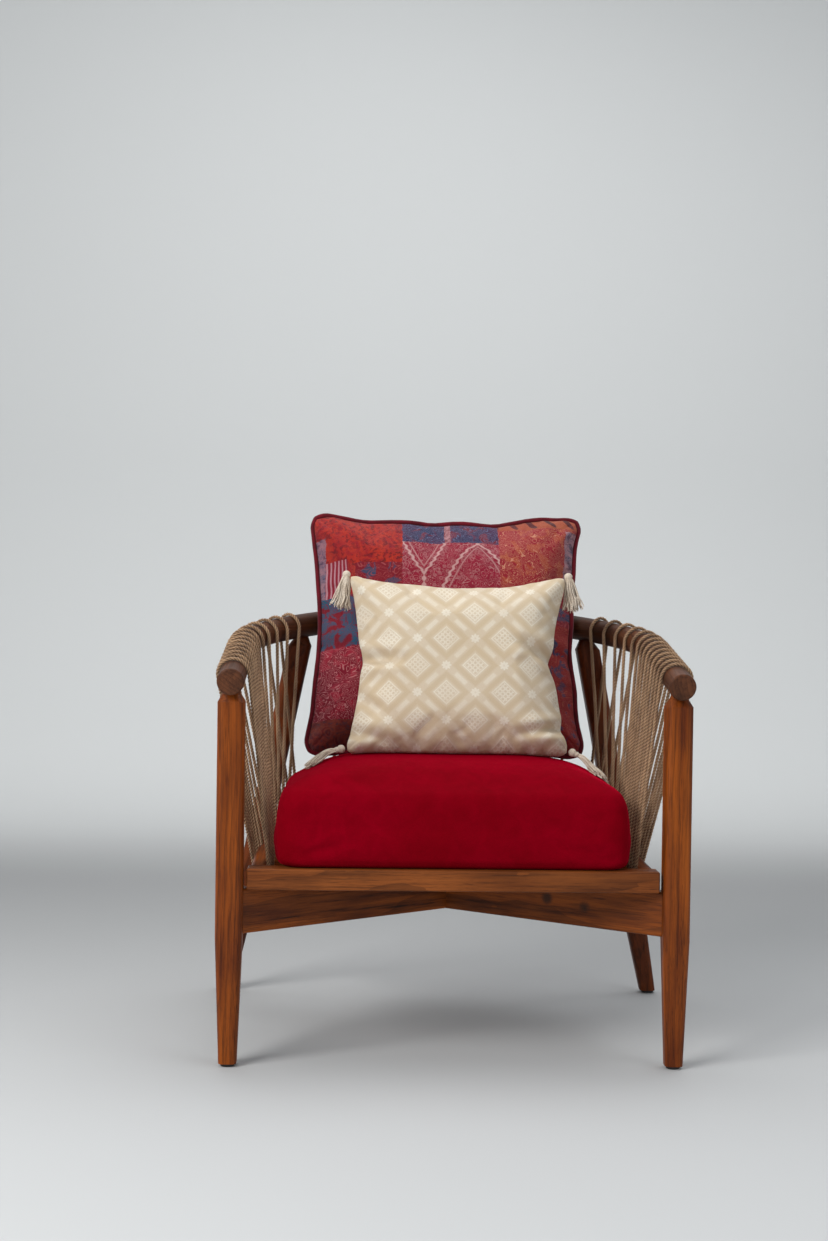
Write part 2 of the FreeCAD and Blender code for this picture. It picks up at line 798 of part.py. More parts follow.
def cut_housings(board):
    """Notches for the bearers' ends, up into the board's rear lower edge."""
    depth = size("bearer_housing") + fit
    half = size("bearer_width") / 2 + fit
    for name, side in side_names():
        middle = side * size("bearer_spread")
        sketch = new_sketch(board, Vector(0, 0, brace_top))
        near, far = board_back - depth, board_back + overrun
        sides = (middle - half, middle + half)
        draw_outline(
            sketch, [(sides[0], near), (sides[1], near), (sides[1], far), (sides[0], far)]
        )
        pocket(board, sketch, "Sizes.board_height - Sizes.slat_height", backwards=True)


def make_side_rail(name, side):
    rail = new_body("seat_side_rail_" + name)
    base = Vector(side * corner_x, hoop_straight, hoop_middle)
    sketch = new_sketch(rail, base, axes_rotation(ALONG_X * side, ALONG_Y * -1))
    away = "Sizes.rail_corner_radius - Sizes.hoop_inset"
    draw_box(sketch, "Sizes.hoop_width", "Sizes.hoop_height", "Sizes.hoop_corner", away)
    pad_by(rail, sketch, hoop_straight - board_back)
    bend = turn_about(rail, sketch, math.degrees(corner_turn))
    if rail.Shape.BoundBox.YMax < hoop_straight + overrun:
        bend.Reversed = not bend.Reversed
        doc.recompute()
    dowel = new_sketch(
        rail,
        Vector(side * hoop_half_width, board_back - overrun, hoop_middle),
        axes_rotation(ALONG_X, ALONG_Y),
    )
    draw_circle(dowel, "Sizes.hoop_dowel_diameter + 2 * Sizes.fit_gap")
    reach = "Sizes.overrun + Sizes.hoop_dowel_length / 2 + Sizes.fit_gap"
    pocket(rail, dowel, reach, backwards=True)
    bore_hoop(rail, side, True)


def make_seat_back_rail():
    rail = new_body("seat_back_rail")
    start = Vector(math.cos(corner_turn), math.sin(corner_turn), 0)
    normal = Vector(-math.sin(corner_turn), math.cos(corner_turn), 0)
    base = Vector(0, hoop_centre, hoop_middle)
    sketch = new_sketch(rail, base, axes_rotation(start, normal * -1))
    away = BACK_RADIUS + " - Sizes.hoop_inset"
    draw_box(sketch, "Sizes.hoop_width", "Sizes.hoop_height", "Sizes.hoop_corner", away)
    bend = turn_about(rail, sketch, 180 - 2 * math.degrees(corner_turn))
    if rail.Shape.BoundBox.YMax < hoop_centre + hoop_back_radius:
        bend.Reversed = not bend.Reversed
        doc.recompute()
    for name, side in side_names():
        bore_hoop(rail, side, False)
    bore_for_screws(rail, seat_top - size("hoop_height"))


def make_hoop_dowels():
    solids = []
    radius = size("hoop_dowel_diameter") / 2
    length = size("hoop_dowel_length")
    for name, side in side_names():
        point, along = hoop_joint(side)
        solids.append(Part.makeCylinder(radius, length, point - along * (length / 2), along))
        start = Vector(side * hoop_half_width, board_back - length / 2, hoop_middle)
        solids.append(Part.makeCylinder(radius, length, start, ALONG_Y))
    add_shape("seat_frame_dowels", Part.makeCompound(solids))


def add_shape(label, shape):
    piece = doc.addObject("Part::Feature", label)
    piece.Shape = shape
    name_piece(piece, label)
    return piece


# Lacing. A station is a distance along the rail's axis, from beside a front leg's axis.

corner_end = rail_straight + corner_radius * corner_turn


def rail_station(side, station):
    """Centre, outward direction and plane normal of the rail at a station."""
    if station < rail_straight:
        centre = Vector(side * half_width, station, 0)
        outward = Vector(side, 0, 0)
    elif station < corner_end:
        turn = (station - rail_straight) / corner_radius
        outward = Vector(side * math.cos(turn), math.sin(turn), 0)
        centre = Vector(side * corner_x, rail_straight, 0) + outward * corner_radius
    else:
        turn = corner_turn + (station - corner_end) / back_radius
        outward = Vector(side * math.cos(turn), math.sin(turn), 0)
        centre = Vector(0, rail_centre, 0) + outward * back_radius
    turned = rail_plane.Rotation
    return rail_plane.multVec(centre), turned.multVec(outward), turned.multVec(UP)


def hoop_station(side, station):
    """The same on the seat frame, in the same direction from the corner's centre."""
    if station < rail_straight:
        centre = Vector(side * hoop_half_width, station * hoop_straight / rail_straight, 0)
        outward = Vector(side, 0, 0)
    elif station < corner_end:
        turn = (station - rail_straight) / corner_radius
        outward = Vector(side * math.cos(turn), math.sin(turn), 0)
        centre = Vector(side * corner_x, hoop_straight, 0) + outward * hoop_corner_radius
    else:
        turn = corner_turn + (station - corner_end) / back_radius
        outward = Vector(side * math.cos(turn), math.sin(turn), 0)
        centre = Vector(0, hoop_centre, 0) + outward * hoop_back_radius
    return centre + UP * hoop_middle, outward, UP


def rail_turn(side, station, before, after):
    """Points of a cord over the rail, from the run up its inside to the run down outside."""
    centre, outward, normal = rail_station(side, station)

    def leaves(target, way):
        """Angle round the rail at which a straight run to the target leaves it."""
        across = (target - centre).dot(outward)
        down = (target - centre).dot(normal)
        spread = math.acos(lace_radius / math.hypot(across, down))
        return math.atan2(down, across) + way * spread

    first = leaves(before, -1) + 2 * math.pi
    step = (first - leaves(after, 1)) / RAIL_BENDS
    reach = lace_radius / math.cos(step / 2)
    points = []
    for bend in range(RAIL_BENDS):
        angle = first - step * (bend + 0.5)
        offset = outward * math.cos(angle) + normal * math.sin(angle)
        points.append(centre + offset * reach)
    return points


def hoop_turn(side, station):
    """Points of a cord under the seat frame, from its outer side to its inner top edge."""
    centre, outward, normal = hoop_station(side, station)
    radius = size("hoop_corner")
    reach = radius + gap + size("cord_diameter") / 2
    bend_x = size("hoop_width") / 2 - radius
    bend_z = size("hoop_height") / 2 - radius
    eighth = math.pi / 8
    far = reach / math.cos(eighth)
    corners = [
        (bend_x + far * math.cos(eighth), -bend_z - far * math.sin(eighth)),
        (bend_x + far * math.sin(eighth), -bend_z - far * math.cos(eighth)),
        (-bend_x - far * math.sin(eighth), -bend_z - far * math.cos(eighth)),
        (-bend_x - far * math.cos(eighth), -bend_z - far * math.sin(eighth)),
        (-bend_x - reach, bend_z),
    ]
    return [centre + outward * x + normal * z for x, z in corners]


def spaced(start, end, count, first_pitch):
    """Stations whose pitch grows steadily from first_pitch."""
    steps = count - 1
    growth = (end - start - steps * first_pitch) * 2 / (steps * (steps - 1))
    return [start + i * first_pitch + growth * i * (i - 1) / 2 for i in range(count)]


def lace_chain(side, tops, feet, first, step):
    """One cord: up the inside, over the rail, down the outside, under the seat frame."""
    start = hoop_turn(side, feet[first])
    points = [(start[1] + start[2]) * 0.5] + start[2:]
    top = first
    while top < len(tops):
        under = hoop_turn(side, feet[top + step])
        points += rail_turn(side, tops[top], points[-1], under[0])
        top += step
        points += under if top < len(tops) else under[:2] + [(under[1] + under[2]) * 0.5]
    return points


def cord_solid(points, radius, sides, closed=False):
    """Unbroken tube with flat sides and a mitred joint at every point."""
    if closed:
        points = points + points[:1]
    directions = [(b - a).normalize() for a, b in zip(points, points[1:])]
    across = directions[0].cross(UP)
    if across.Length < gap:
        across = directions[0].cross(ALONG_X)
    across.normalize()
    up = directions[0].cross(across)
    ring = []
    for index in range(sides):
        angle = 2 * math.pi * index / sides
        ring.append(points[0] + (across * math.cos(angle) + up * math.sin(angle)) * radius)
    if closed:
        mitre = (directions[-1] + directions[0]).normalize()
        start = directions[0]
        ring = [at + start * ((points[0] - at).dot(mitre) / start.dot(mitre)) for at in ring]
    rings = [ring]
    for index, direction in enumerate(directions):
        end = points[index + 1]
        following = directions[index + 1] if index + 1 < len(directions) else direction
        mitre = (direction + following).normalize()
        ring = [at + direction * ((end - at).dot(mitre) / direction.dot(mitre)) for at in ring]
        rings.append(ring)
    faces = []
    if closed:
        rings[-1] = rings[0]
    else:
        faces.append(Part.Face(Part.makePolygon(rings[0] + rings[0][:1])))
        faces.append(Part.Face(Part.makePolygon(rings[-1] + rings[-1][:1])))
    for near, far in zip(rings, rings[1:]):
        for index in range(sides):
            after = (index + 1) % sides
            corners = [near[index], near[after], far[after], far[index], near[index]]
            faces.append(Part.Face(Part.makePolygon(corners)))
    solid = Part.makeSolid(Part.makeShell(faces))
    if solid.Volume < 0:
        solid.reverse()
    return solid


def report_gap(label, chains):
    """Prints the least gap of a panel's cords to themselves, on points along them."""
    samples = []
    for number, points in enumerate(chains):
        travelled = 0
        for a, b in zip(points, points[1:]):
            pieces_here = max(1, int((b - a).Length / size("cord_diameter")))
            for part in range(pieces_here):
                at = a + (b - a) * (part / pieces_here)
                samples.append((number, travelled + (at - a).Length, at))
            travelled += (b - a).Length
    cell = 4 * size("cord_diameter")
    grid = {}
    for sample in samples:
        key = tuple(int(math.floor(c / cell)) for c in sample[2])
        grid.setdefault(key, []).append(sample)
    least = cell
    for (i, j, k), here in grid.items():
        around = []
        for di in (0, 1):
            for dj in (-1, 0, 1):
                for dk in (-1, 0, 1):
                    around += grid.get((i + di, j + dj, k + dk), [])
        for one in here:
            for other in around:
                if one[0] == other[0] and abs(one[1] - other[1]) < 2 * cell:
                    continue
                least = min(least, (one[2] - other[2]).Length)
    print("%s: least gap between its turns %.2f mm" % (label, least - size("cord_diameter")))


def make_lacing(label, side, tops, feet, step):
    chains = [lace_chain(side, tops, feet, first, step) for first in range(step)]
    report_gap(label, chains)
    length = sum((b - a).Length for points in chains for a, b in zip(points, points[1:]))
    print("%s: %d cords, %.1f m of cord" % (label, step, length / 1000))
    solids = [cord_solid(points, size("cord_diameter") / 2, CORD_SIDES) for points in chains]
    add_shape(label, Part.makeCompound(solids))


def make_all_lacing():
    leg_at = corner_end + back_radius * (leg_angle - corner_turn)
    last = leg_at - size("side_lace_margin")
    tops = spaced(size("side_lace_start"), last, SIDE_TURNS, size("side_lace_pitch"))
    last = leg_at - size("side_foot_margin")
    count = SIDE_TURNS + SIDE_STEP
    feet = spaced(size("side_foot_start"), last, count, size("side_foot_pitch"))
    for name, side in side_names():
        make_lacing("lacing_" + name, side, tops, feet, SIDE_STEP)
    middle = corner_end + back_radius * (math.pi / 2 - corner_turn)
    first = leg_at + size("back_lace_margin")
    last = 2 * middle - first
    tops = spaced(first, last, BACK_TURNS, (last - first) / (BACK_TURNS - 1))
    first = leg_at + size("back_foot_margin")
    last = 2 * middle - first
    count = BACK_TURNS + BACK_STEP
    feet = spaced(first, last, count, (last - first) / (count - 1))
    make_lacing("lacing_back", -1, tops, feet, BACK_STEP)


# Cushions, as stacked sections joined by ruled sides.

def arc_wire(corners):
    """Closed wire through (start, middle, end) triples; two points make a line."""
    edges = []
    for points in corners:
        if len(points) == 2:
            edges.append(Part.LineSegment(*points).toShape())
        else:
            edges.append(Part.Arc(*points).toShape())
    return Part.Wire(edges)


seat_half_width = hoop_half_width - size("hoop_width") / 2 - size("seat_side_gap")


def seat_section(inwards, z):
    """Level section of the seat cushion: square front, bent back like the seat frame."""
    w = seat_half_width - inwards
    front = inwards - size("seat_front_reach")
    r_back = hoop_back_radius - size("hoop_width") / 2 - size("seat_back_gap") - inwards
    r_corner = r_back - (hoop_back_radius - hoop_corner_radius)
    across = w - r_corner
    step = math.sqrt((r_back - r_corner) ** 2 - across ** 2)
    turn = math.atan2(step, across)
    bend_y = hoop_centre + step
    half = (math.pi / 2 + turn) / 2
    r_front = size("seat_corner_radius") + inwards * SEAT_CORNER_GROWTH_SHARE
    r_front = min(r_front, min(bend_y - front, w) * SEAT_CORNER_LIMIT_SHARE)

    def corner(angle, side):
        return Vector(
            side * (across + r_corner * math.cos(angle)), bend_y + r_corner * math.sin(angle), z
        )

    def rear(angle, side):
        return Vector(
            side * r_back * math.cos(angle), hoop_centre + r_back * math.sin(angle), z
        )

    def nose(angle, side):
        return Vector(
            side * (w - r_front + r_front * math.cos(angle)),
            front + r_front - r_front * math.sin(angle),
            z,
        )

    quarter = math.pi / 2
    return arc_wire([
        (nose(quarter, -1), nose(quarter, 1)),
        (nose(quarter, 1), nose(quarter / 2, 1), nose(0, 1)),
        (nose(0, 1), corner(0, 1)),
        (corner(0, 1), corner(turn / 2, 1), corner(turn, 1)),
        (rear(turn, 1), rear(half, 1), rear(quarter, 1)),
        (rear(quarter, -1), rear(half, -1), rear(turn, -1)),
        (corner(turn, -1), corner(turn / 2, -1), corner(0, -1)),
        (corner(0, -1), nose(0, -1)),
        (nose(0, -1), nose(quarter / 2, -1), nose(quarter, -1)),
    ])


# Shares of the edge size and of the side height, then of the crown, from bottom to top.
SEAT_SIDE_SHARES = ((0.45, 0.0), (0.12, 0.07), (0.0, 0.3), (0.0, 0.62), (0.16, 0.86), (0.5, 1.0))
SEAT_CROWN_SHARES = ((0.096, 0.26), (0.19, 0.52), (0.335, 0.78), (0.5, 0.94), (0.67, 1.0))
# How much a seat section's front corners open for each mm it lies inwards, and the most
# of the straight side, or of the half width, that they may take.
SEAT_CORNER_GROWTH_SHARE = 0.3
SEAT_CORNER_LIMIT_SHARE = 0.8


def make_seat_cushion():
    base = seat_top + gap
    height = size("seat_side_height")
    edge = size("seat_edge")
    wires = []
    for across_share, height_share in SEAT_SIDE_SHARES:
        wires.append(seat_section(edge * across_share, base + height * height_share))
    rear = hoop_centre + hoop_back_radius - size("hoop_width") / 2 - size("seat_back_gap")
    half_depth = (rear + size("seat_front_reach")) / 2
    reach = min(seat_half_width, half_depth) - edge
    for across_share, crown_share in SEAT_CROWN_SHARES:
        level = base + height + size("seat_crown") * crown_share
        wires.append(seat_section(edge / 2 + reach * across_share, level))
    add_shape("seat_cushion", Part.makeLoft(wires, True, True))


# A pillow is thin at its seam and full in the middle: shares of the half height that the
# outline draws in, and of the half thickness reached there.
PILLOW_SHARES = (
    (0.0, 0.045), (0.03, 0.2), (0.09, 0.4), (0.18, 0.6), (0.31, 0.79), (0.47, 0.93), (0.64, 1.0)
)
# How fast a pillow's drawn-in sides straighten, and its corners open, towards its middle.
DRAW_FADE_SHARE = 2.2
CORNER_GROWTH_SHARE = 3.0


def pillow_section(half_x, half_z, draw, corner, inwards, y, outset=0, rests=False):
    """Outline of a pillow, level with its seam: drawn-in sides and round corners.

    A pillow that rests its full width on the seat has a straight lower side.
    """
    share = inwards / half_z
    sag = draw * (1 - DRAW_FADE_SHARE * share) * (half_z - inwards) / half_z
    hx = half_x - inwards + outset
    hz = half_z - inwards + outset
    r = corner * (1 + CORNER_GROWTH_SHARE * share) + outset
    eighth = math.pi / 4
    corners = []
    for sx, sz in ((1, -1), (1, 1), (-1, 1), (-1, -1)):
        cx = sx * (hx - r)
        cz = sz * (hz - r)
        on = [Vector(cx, y, cz + sz * r), Vector(cx + sx * r, y, cz)]
        middle = Vector(cx + sx * r * math.cos(eighth), y, cz + sz * r * math.sin(eighth))
        corners.append((on, middle))
    right_low, right_high, left_high, left_low = corners
    base = (left_low[0][0], right_low[0][0])
    if not rests:
        base = (base[0], Vector(0, y, sag - hz), base[1])
    return arc_wire([
        base,
        (right_low[0][0], right_low[1], right_low[0][1]),
        (right_low[0][1], Vector(hx - sag, y, 0), right_high[0][1]),
        (right_high[0][1], right_high[1], right_high[0][0]),
        (right_high[0][0], Vector(0, y, hz - sag), left_high[0][0]),
        (left_high[0][0], left_high[1], left_high[0][1]),
        (left_high[0][1], Vector(sag - hx, y, 0), left_low[0][1]),
        (left_low[0][1], left_low[1], left_low[0][0]),
    ])


def pillow(name, rests=False):
    """A pillow with its seam on the XZ plane, fuller in front than behind."""
    half_x, half_z = size(name + "_half_width"), size(name + "_half_height")
    shape = (half_x, half_z, size(name + "_draw_in"), size(name + "_corner"))
    front, rear = size(name + "_front_thickness"), size(name + "_rear_thickness")
    wires = []
    for inwards, depth in reversed(PILLOW_SHARES):
        wires.append(pillow_section(*shape, inwards * half_z, -depth * front, 0, rests))
    for inwards, depth in PILLOW_SHARES:
        wires.append(pillow_section(*shape, inwards * half_z, depth * rear, 0, rests))
    return Part.makeLoft(wires, True, True)


def leaning(name, middle_x, behind, distance):
    """Placement of a pillow that stands on the seat cushion and leans back.

    Its seam's plane passes in front of the point behind it, at a distance square to it.
    """
    top = seat_top + gap + size("seat_side_height") + size("seat_crown")
    lean = math.radians(size(name + "_lean_angle"))
    z = top - size(name + "_sink") + size(name + "_half_height") * math.cos(lean)
    y = behind.y - (distance + (behind.z - z) * math.sin(lean)) / math.cos(lean)
    turned = FreeCAD.Rotation(ALONG_X, -math.degrees(lean))
    return FreeCAD.Placement(Vector(middle_x, y, z), turned)


def back_stand():
    rail = rail_plane.multVec(Vector(0, size("rail_depth"), 0))
    return leaning("back", 0, rail, size("back_rail_distance"))


def make_back_cushion():
    cushion = add_shape("back_cushion", pillow("back"))
    stand = back_stand()
    cushion.Placement = stand
    radius = size("piping_diameter") / 2
    path = pillow_section(
        size("back_half_width"),
        size("back_half_height"),
        size("back_draw_in"),
        size("back_corner"),
        0,
        0,
        radius + gap,
    )
    points = []
    for edge in path.OrderedEdges:
        count = PIPING_SIDE_RUNS if edge.Length > size("back_half_height") else PIPING_CORNER_RUNS
        points += edge.discretize(count + 1)[:-1]
    piping = add_shape("back_cushion_piping", cord_solid(points, radius, PIPING_SIDES, True))
    piping.Placement = stand


# Sides of the small cushion's corner, rise of the knot beside it, its distance out in head
# radii, and the way it hangs.
TASSELS = (
    ("tassel_top_left", -1, 1, 0.6, 1.0, Vector(-0.5, -0.1, -1)),
    ("tassel_top_right", 1, 1, 0.6, 1.0, Vector(0.5, -0.1, -1)),
    ("tassel_bottom_left", -1, -1, 0.3, 1.45, Vector(-1, -0.2, -0.22)),
    ("tassel_bottom_right", 1, -1, 0.1, 1.3, Vector(1, -0.2, -0.45)),
)
# Shares of the head or the skirt at each step of a tassel's outline.
TASSEL_SHOULDER_SHARE = 0.75
TASSEL_BELLY_SHARE = 0.7
TASSEL_HEM_SHARE = 0.8


def make_small_cushion():
    cushion = add_shape("small_cushion", pillow("small", True))
    behind = back_stand().Base
    stand = leaning("small", size("small_middle_x"), behind, size("small_back_distance"))
    cushion.Placement = stand
    corner_x = size("small_half_width") - size("small_corner") * (1 - math.sqrt(0.5))
    corner_z = size("small_half_height") - size("small_corner") * (1 - math.sqrt(0.5))
    for name, sx, sz, rise, reach, hang in TASSELS:
        corner = Vector(sx * corner_x, 0, sz * corner_z)
        outward = Vector(sx, 0, rise).normalize()
        knot = corner + outward * (size("tassel_head") / 2 * reach + gap * 2)
        make_tassel(name, stand.multVec(knot), hang)


def make_tassel(label, knot, hang):
    """A tied head over a flared skirt of threads, turned about the way it hangs."""
    head = size("tassel_head") / 2
    neck = size("tassel_neck") / 2
    skirt = size("tassel_skirt") / 2
    length = size("tassel_length")
    tassel = new_body(label)
    sketch = new_sketch(tassel)
    waist = head * 2 - neck / 2
    belly = waist + (length - waist) / 3
    points = [
        (0, head),
        (neck, head * TASSEL_SHOULDER_SHARE),
        (head, 0),
        (neck, -waist + head),
        (skirt * TASSEL_BELLY_SHARE, -belly + head),
        (skirt, -length + head + neck),
        (skirt * TASSEL_HEM_SHARE, -length + head),
        (0, -length + head),
    ]
    draw_outline(sketch, points)
    turn_about(tassel, sketch, 360)
    tassel.Placement = FreeCAD.Placement(knot, FreeCAD.Rotation(ALONG_Y * -1, hang))


for name, side in side_names():
    make_arm(name, side)
    make_rail_dowel(name, side)
    make_leg(name, side, False)
    make_leg(name, side, True)
    make_glide(name, side, False)
    make_glide(name, side, True)
    make_brace(name, side)
    make_side_rail(name, side)
    make_bearer(name, side)
make_rail_back()
make_seat_back_rail()
make_board()
make_hoop_dowels()
make_screws()
for slat_index in range(SLATS):
    make_slat(slat_index)
make_all_lacing()
make_seat_cushion()
make_back_cushion()
make_small_cushion()

for piece in pieces:
    place = piece.Placement
    place.Base.y -= centre_y
    piece.Placement = place
doc.recompute()

for item in doc.Objects:
    if "Invalid" in item.State or "Error" in item.State:
        raise ValueError("%s failed: %s" % (item.Label, item.State))
os.makedirs("parts", exist_ok=True)
for piece in pieces:
    shape = piece.Shape
    if shape.isNull() or not shape.isValid() or not shape.Solids:
        raise ValueError(piece.Label + " has no valid shape")
for piece in pieces:
    piece.Shape.exportStep("parts/%s.step" % piece.Label)
print("%d pieces written" % len(pieces))
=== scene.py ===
import math
import random

import bmesh
import bpy
from mathutils import Matrix, Vector, noise
from mathutils.bvhtree import BVHTree


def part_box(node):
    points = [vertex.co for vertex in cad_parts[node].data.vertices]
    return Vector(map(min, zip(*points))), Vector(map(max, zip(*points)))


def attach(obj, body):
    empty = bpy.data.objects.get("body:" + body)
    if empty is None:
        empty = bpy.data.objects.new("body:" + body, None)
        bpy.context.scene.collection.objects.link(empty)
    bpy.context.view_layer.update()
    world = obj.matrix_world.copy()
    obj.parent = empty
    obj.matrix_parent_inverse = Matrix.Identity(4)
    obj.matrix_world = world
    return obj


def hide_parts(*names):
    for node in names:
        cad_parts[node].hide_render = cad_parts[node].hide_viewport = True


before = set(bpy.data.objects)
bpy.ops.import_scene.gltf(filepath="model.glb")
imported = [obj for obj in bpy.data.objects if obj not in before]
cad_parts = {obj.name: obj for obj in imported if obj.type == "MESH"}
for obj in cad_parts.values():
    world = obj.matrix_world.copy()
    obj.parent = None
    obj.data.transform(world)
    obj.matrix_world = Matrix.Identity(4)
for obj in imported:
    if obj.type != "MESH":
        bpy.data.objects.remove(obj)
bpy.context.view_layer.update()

# Woven armchair. The frame's wood, glides and screws are the CAD nodes with new finishes.
# The lacing, cushions, piping and tassels are made here, in the places of their CAD nodes.
# Metres. X is the width, Y runs from the front to the back, Z is up.

SIZES = {
    "rail radius": 0.021,
    "rail half width": 0.346,
    "rail corner radius": 0.250,
    "rail corner angle": math.radians(33.41),
    "rail depth": 0.5325,
    "rail height": 0.6005,
    "rail tilt": math.radians(9.61),
    "back leg angle": math.radians(46.6),
    "hoop inset": 0.042,
    "hoop half side": 0.013,
    "hoop corner": 0.008,
    "hoop middle": 0.294,
    "seat top": 0.307,
    "cord diameter": 0.0065,
    "cord gap": 0.0003,
    "twist length": 0.017,
    "side lace start": 0.024,
    "side lace end": 0.425,
    "side lace pitch": 0.027,
    "side foot start": 0.034,
    "side foot end": 0.436,
    "side foot pitch": 0.025,
    "back lace margin": 0.046,
    "back foot margin": 0.033,
    "piping radius": 0.004,
    "piping outset": 0.0022,
    "lacing clearance": 0.0012,
    "cushion clearance": 0.001,
    "tassel clearance": 0.0008,
    "tassel head": 0.007,
    "tassel neck": 0.0042,
    "tassel thread": 0.0008,
}
# Turns of cord over the rail, and how many stations a cord moves on at each turn.
SIDE_TURNS, SIDE_STEP, BACK_TURNS, BACK_STEP = 14, 6, 13, 3
# Steps of a cord round the rail, and the frames for which a cushion is inflated.
RAIL_BENDS = 14
CLOTH_FRAMES = 20
# Threads of a lying tassel, and the steps of each thread.
LYING_THREADS, THREAD_STEPS = 110, 10
# The front legs' axes lie this far in front of the middle of the chair.
FRONT = 0.258086

# Blender's vector noise starts from the clock unless it is given a seed.
noise.seed_set(7)

X_AXIS, Y_AXIS, Z_AXIS = Vector((1, 0, 0)), Vector((0, 1, 0)), Vector((0, 0, 1))


# Shader helpers.

class Shader:
    """Short calls for building one node tree, of a material or of geometry."""

    def __init__(self, tree):
        self.tree = tree

    def add(self, kind, inputs=None, **settings):
        node = self.tree.nodes.new(kind)
        for key, item in settings.items():
            setattr(node, key, item)
        for key, item in (inputs or {}).items():
            self.feed(node.inputs[key], item)
        return node

    def feed(self, socket, item):
        if isinstance(item, bpy.types.NodeSocket):
            self.tree.links.new(item, socket)
        elif item is not None:
            if socket.type == "RGBA" and len(item) == 3:
                item = (*item, 1.0)
            socket.default_value = item

    def calc(self, operation, a, b=None):
        node = self.add("ShaderNodeMath", operation=operation)
        for socket, item in zip(node.inputs, (a, b)):
            self.feed(socket, item)
        return node.outputs[0]

    def vector(self, operation, a, b=None):
        node = self.add("ShaderNodeVectorMath", operation=operation)
        self.feed(node.inputs[0], a)
        self.feed(node.inputs[1], b)
        return node.outputs["Value" if operation in ("DOT_PRODUCT", "LENGTH") else "Vector"]

    def mix(self, share, a, b):
        node = self.add("ShaderNodeMix", data_type="RGBA", blend_type="MIX")
        for index, item in ((0, share), (6, a), (7, b)):
            self.feed(node.inputs[index], item)
        return node.outputs[2]

    def between(self, item, low, high, to_low=0.0, to_high=1.0, smooth=False):
        kind = "SMOOTHSTEP" if smooth else "LINEAR"
        node = self.add("ShaderNodeMapRange", interpolation_type=kind)
        for index, given in enumerate((item, low, high, to_low, to_high)):
            self.feed(node.inputs[index], given)
        return node.outputs[0]

    def noise(self, where, scale, detail=2.0, rough=0.5, warp=0.0, output="Fac"):
        node = self.add("ShaderNodeTexNoise", {
            "Vector": where, "Scale": scale, "Detail": detail, "Roughness": rough,
            "Distortion": warp,
        })
        return node.outputs[output]

    def cells(self, where, scale):
        node = self.add("ShaderNodeTexVoronoi", {"Vector": where, "Scale": scale})
        return node.outputs["Distance"]

    def split(self, where):
        return self.add("ShaderNodeSeparateXYZ", {"Vector": where}).outputs

    def join(self, x, y, z):
        return self.add("ShaderNodeCombineXYZ", {"X": x, "Y": y, "Z": z}).outputs[0]

    def scaled(self, vector, factor):
        node = self.add("ShaderNodeVectorMath", {"Scale": factor}, operation="SCALE")
        self.feed(node.inputs[0], vector)
        return node.outputs["Vector"]

    def here(self):
        """Each point's place on its object."""
        return self.add("ShaderNodeTexCoord").outputs["Object"]

    def cloth(self):
        """Each point's place on its cloth, in metres."""
        return self.add("ShaderNodeUVMap", uv_map="cloth").outputs["UV"]

    def mark(self, geometry, label, item):
        """Stores a number under a name on every point of a geometry."""
        node = self.add("GeometryNodeStoreNamedAttribute", {
            "Geometry": geometry, "Name": label, "Value": item,
        }, domain="POINT", data_type="FLOAT")
        return node.outputs["Geometry"]

    def group(self, tree, inputs):
        node = self.tree.nodes.new("ShaderNodeGroup")
        node.node_tree = tree
        for key, item in inputs.items():
            self.feed(node.inputs[key], item)
        return node.outputs


def new_group(name, inputs, outputs, kind="ShaderNodeTree"):
    """A node group with typed inputs and outputs, its builder, and its sockets by name."""
    tree = bpy.data.node_groups.new(name, kind)
    for label, sort, start in inputs:
        socket = tree.interface.new_socket(label, in_out="INPUT", socket_type="NodeSocket" + sort)
        if start is not None:
            socket.default_value = (*start, 1.0) if sort == "Color" else start
    for label, sort in outputs:
        tree.interface.new_socket(label, in_out="OUTPUT", socket_type="NodeSocket" + sort)
    shader = Shader(tree)
    given = tree.nodes.new("NodeGroupInput").outputs
    result = tree.nodes.new("NodeGroupOutput").inputs
    return tree, shader, given, result


def new_material(name, roughness=0.6, **constants):
    """A material, its builder, its Principled shader, and plain values set on the shader."""
    material = bpy.data.materials.new(name)
    material.use_nodes = True
    shader = Shader(material.node_tree)
    surface = material.node_tree.nodes["Principled BSDF"]
    surface.inputs["Roughness"].default_value = roughness
    for key, item in constants.items():
        socket = surface.inputs[key.replace("_", " ")]
        socket.default_value = (*item, 1.0) if isinstance(item, tuple) else item
    return material, shader, surface


def bump(shader, surface, height, distance, strength):
    node = shader.add("ShaderNodeBump", {
        "Height": height, "Distance": distance, "Strength": strength,
    })
    shader.feed(surface.inputs["Normal"], node.outputs["Normal"])


def srgb(red, green, blue):
    """A colour written in 0 to 255 as it looks, turned into linear light."""
    def linear(level):
        level = level / 255
        return level / 12.92 if level <= 0.04045 else ((level + 0.055) / 1.055) ** 2.4
    return linear(red), linear(green), linear(blue)


def add_object(name, data):
    item = bpy.data.objects.new(name, data)
    bpy.context.collection.objects.link(item)
    return item


def finished_mesh(item):
    """A plain mesh of an object as its modifiers leave it."""
    evaluated = item.evaluated_get(bpy.context.evaluated_depsgraph_get())
    return bpy.data.meshes.new_from_object(evaluated)


# Oiled hardwood.

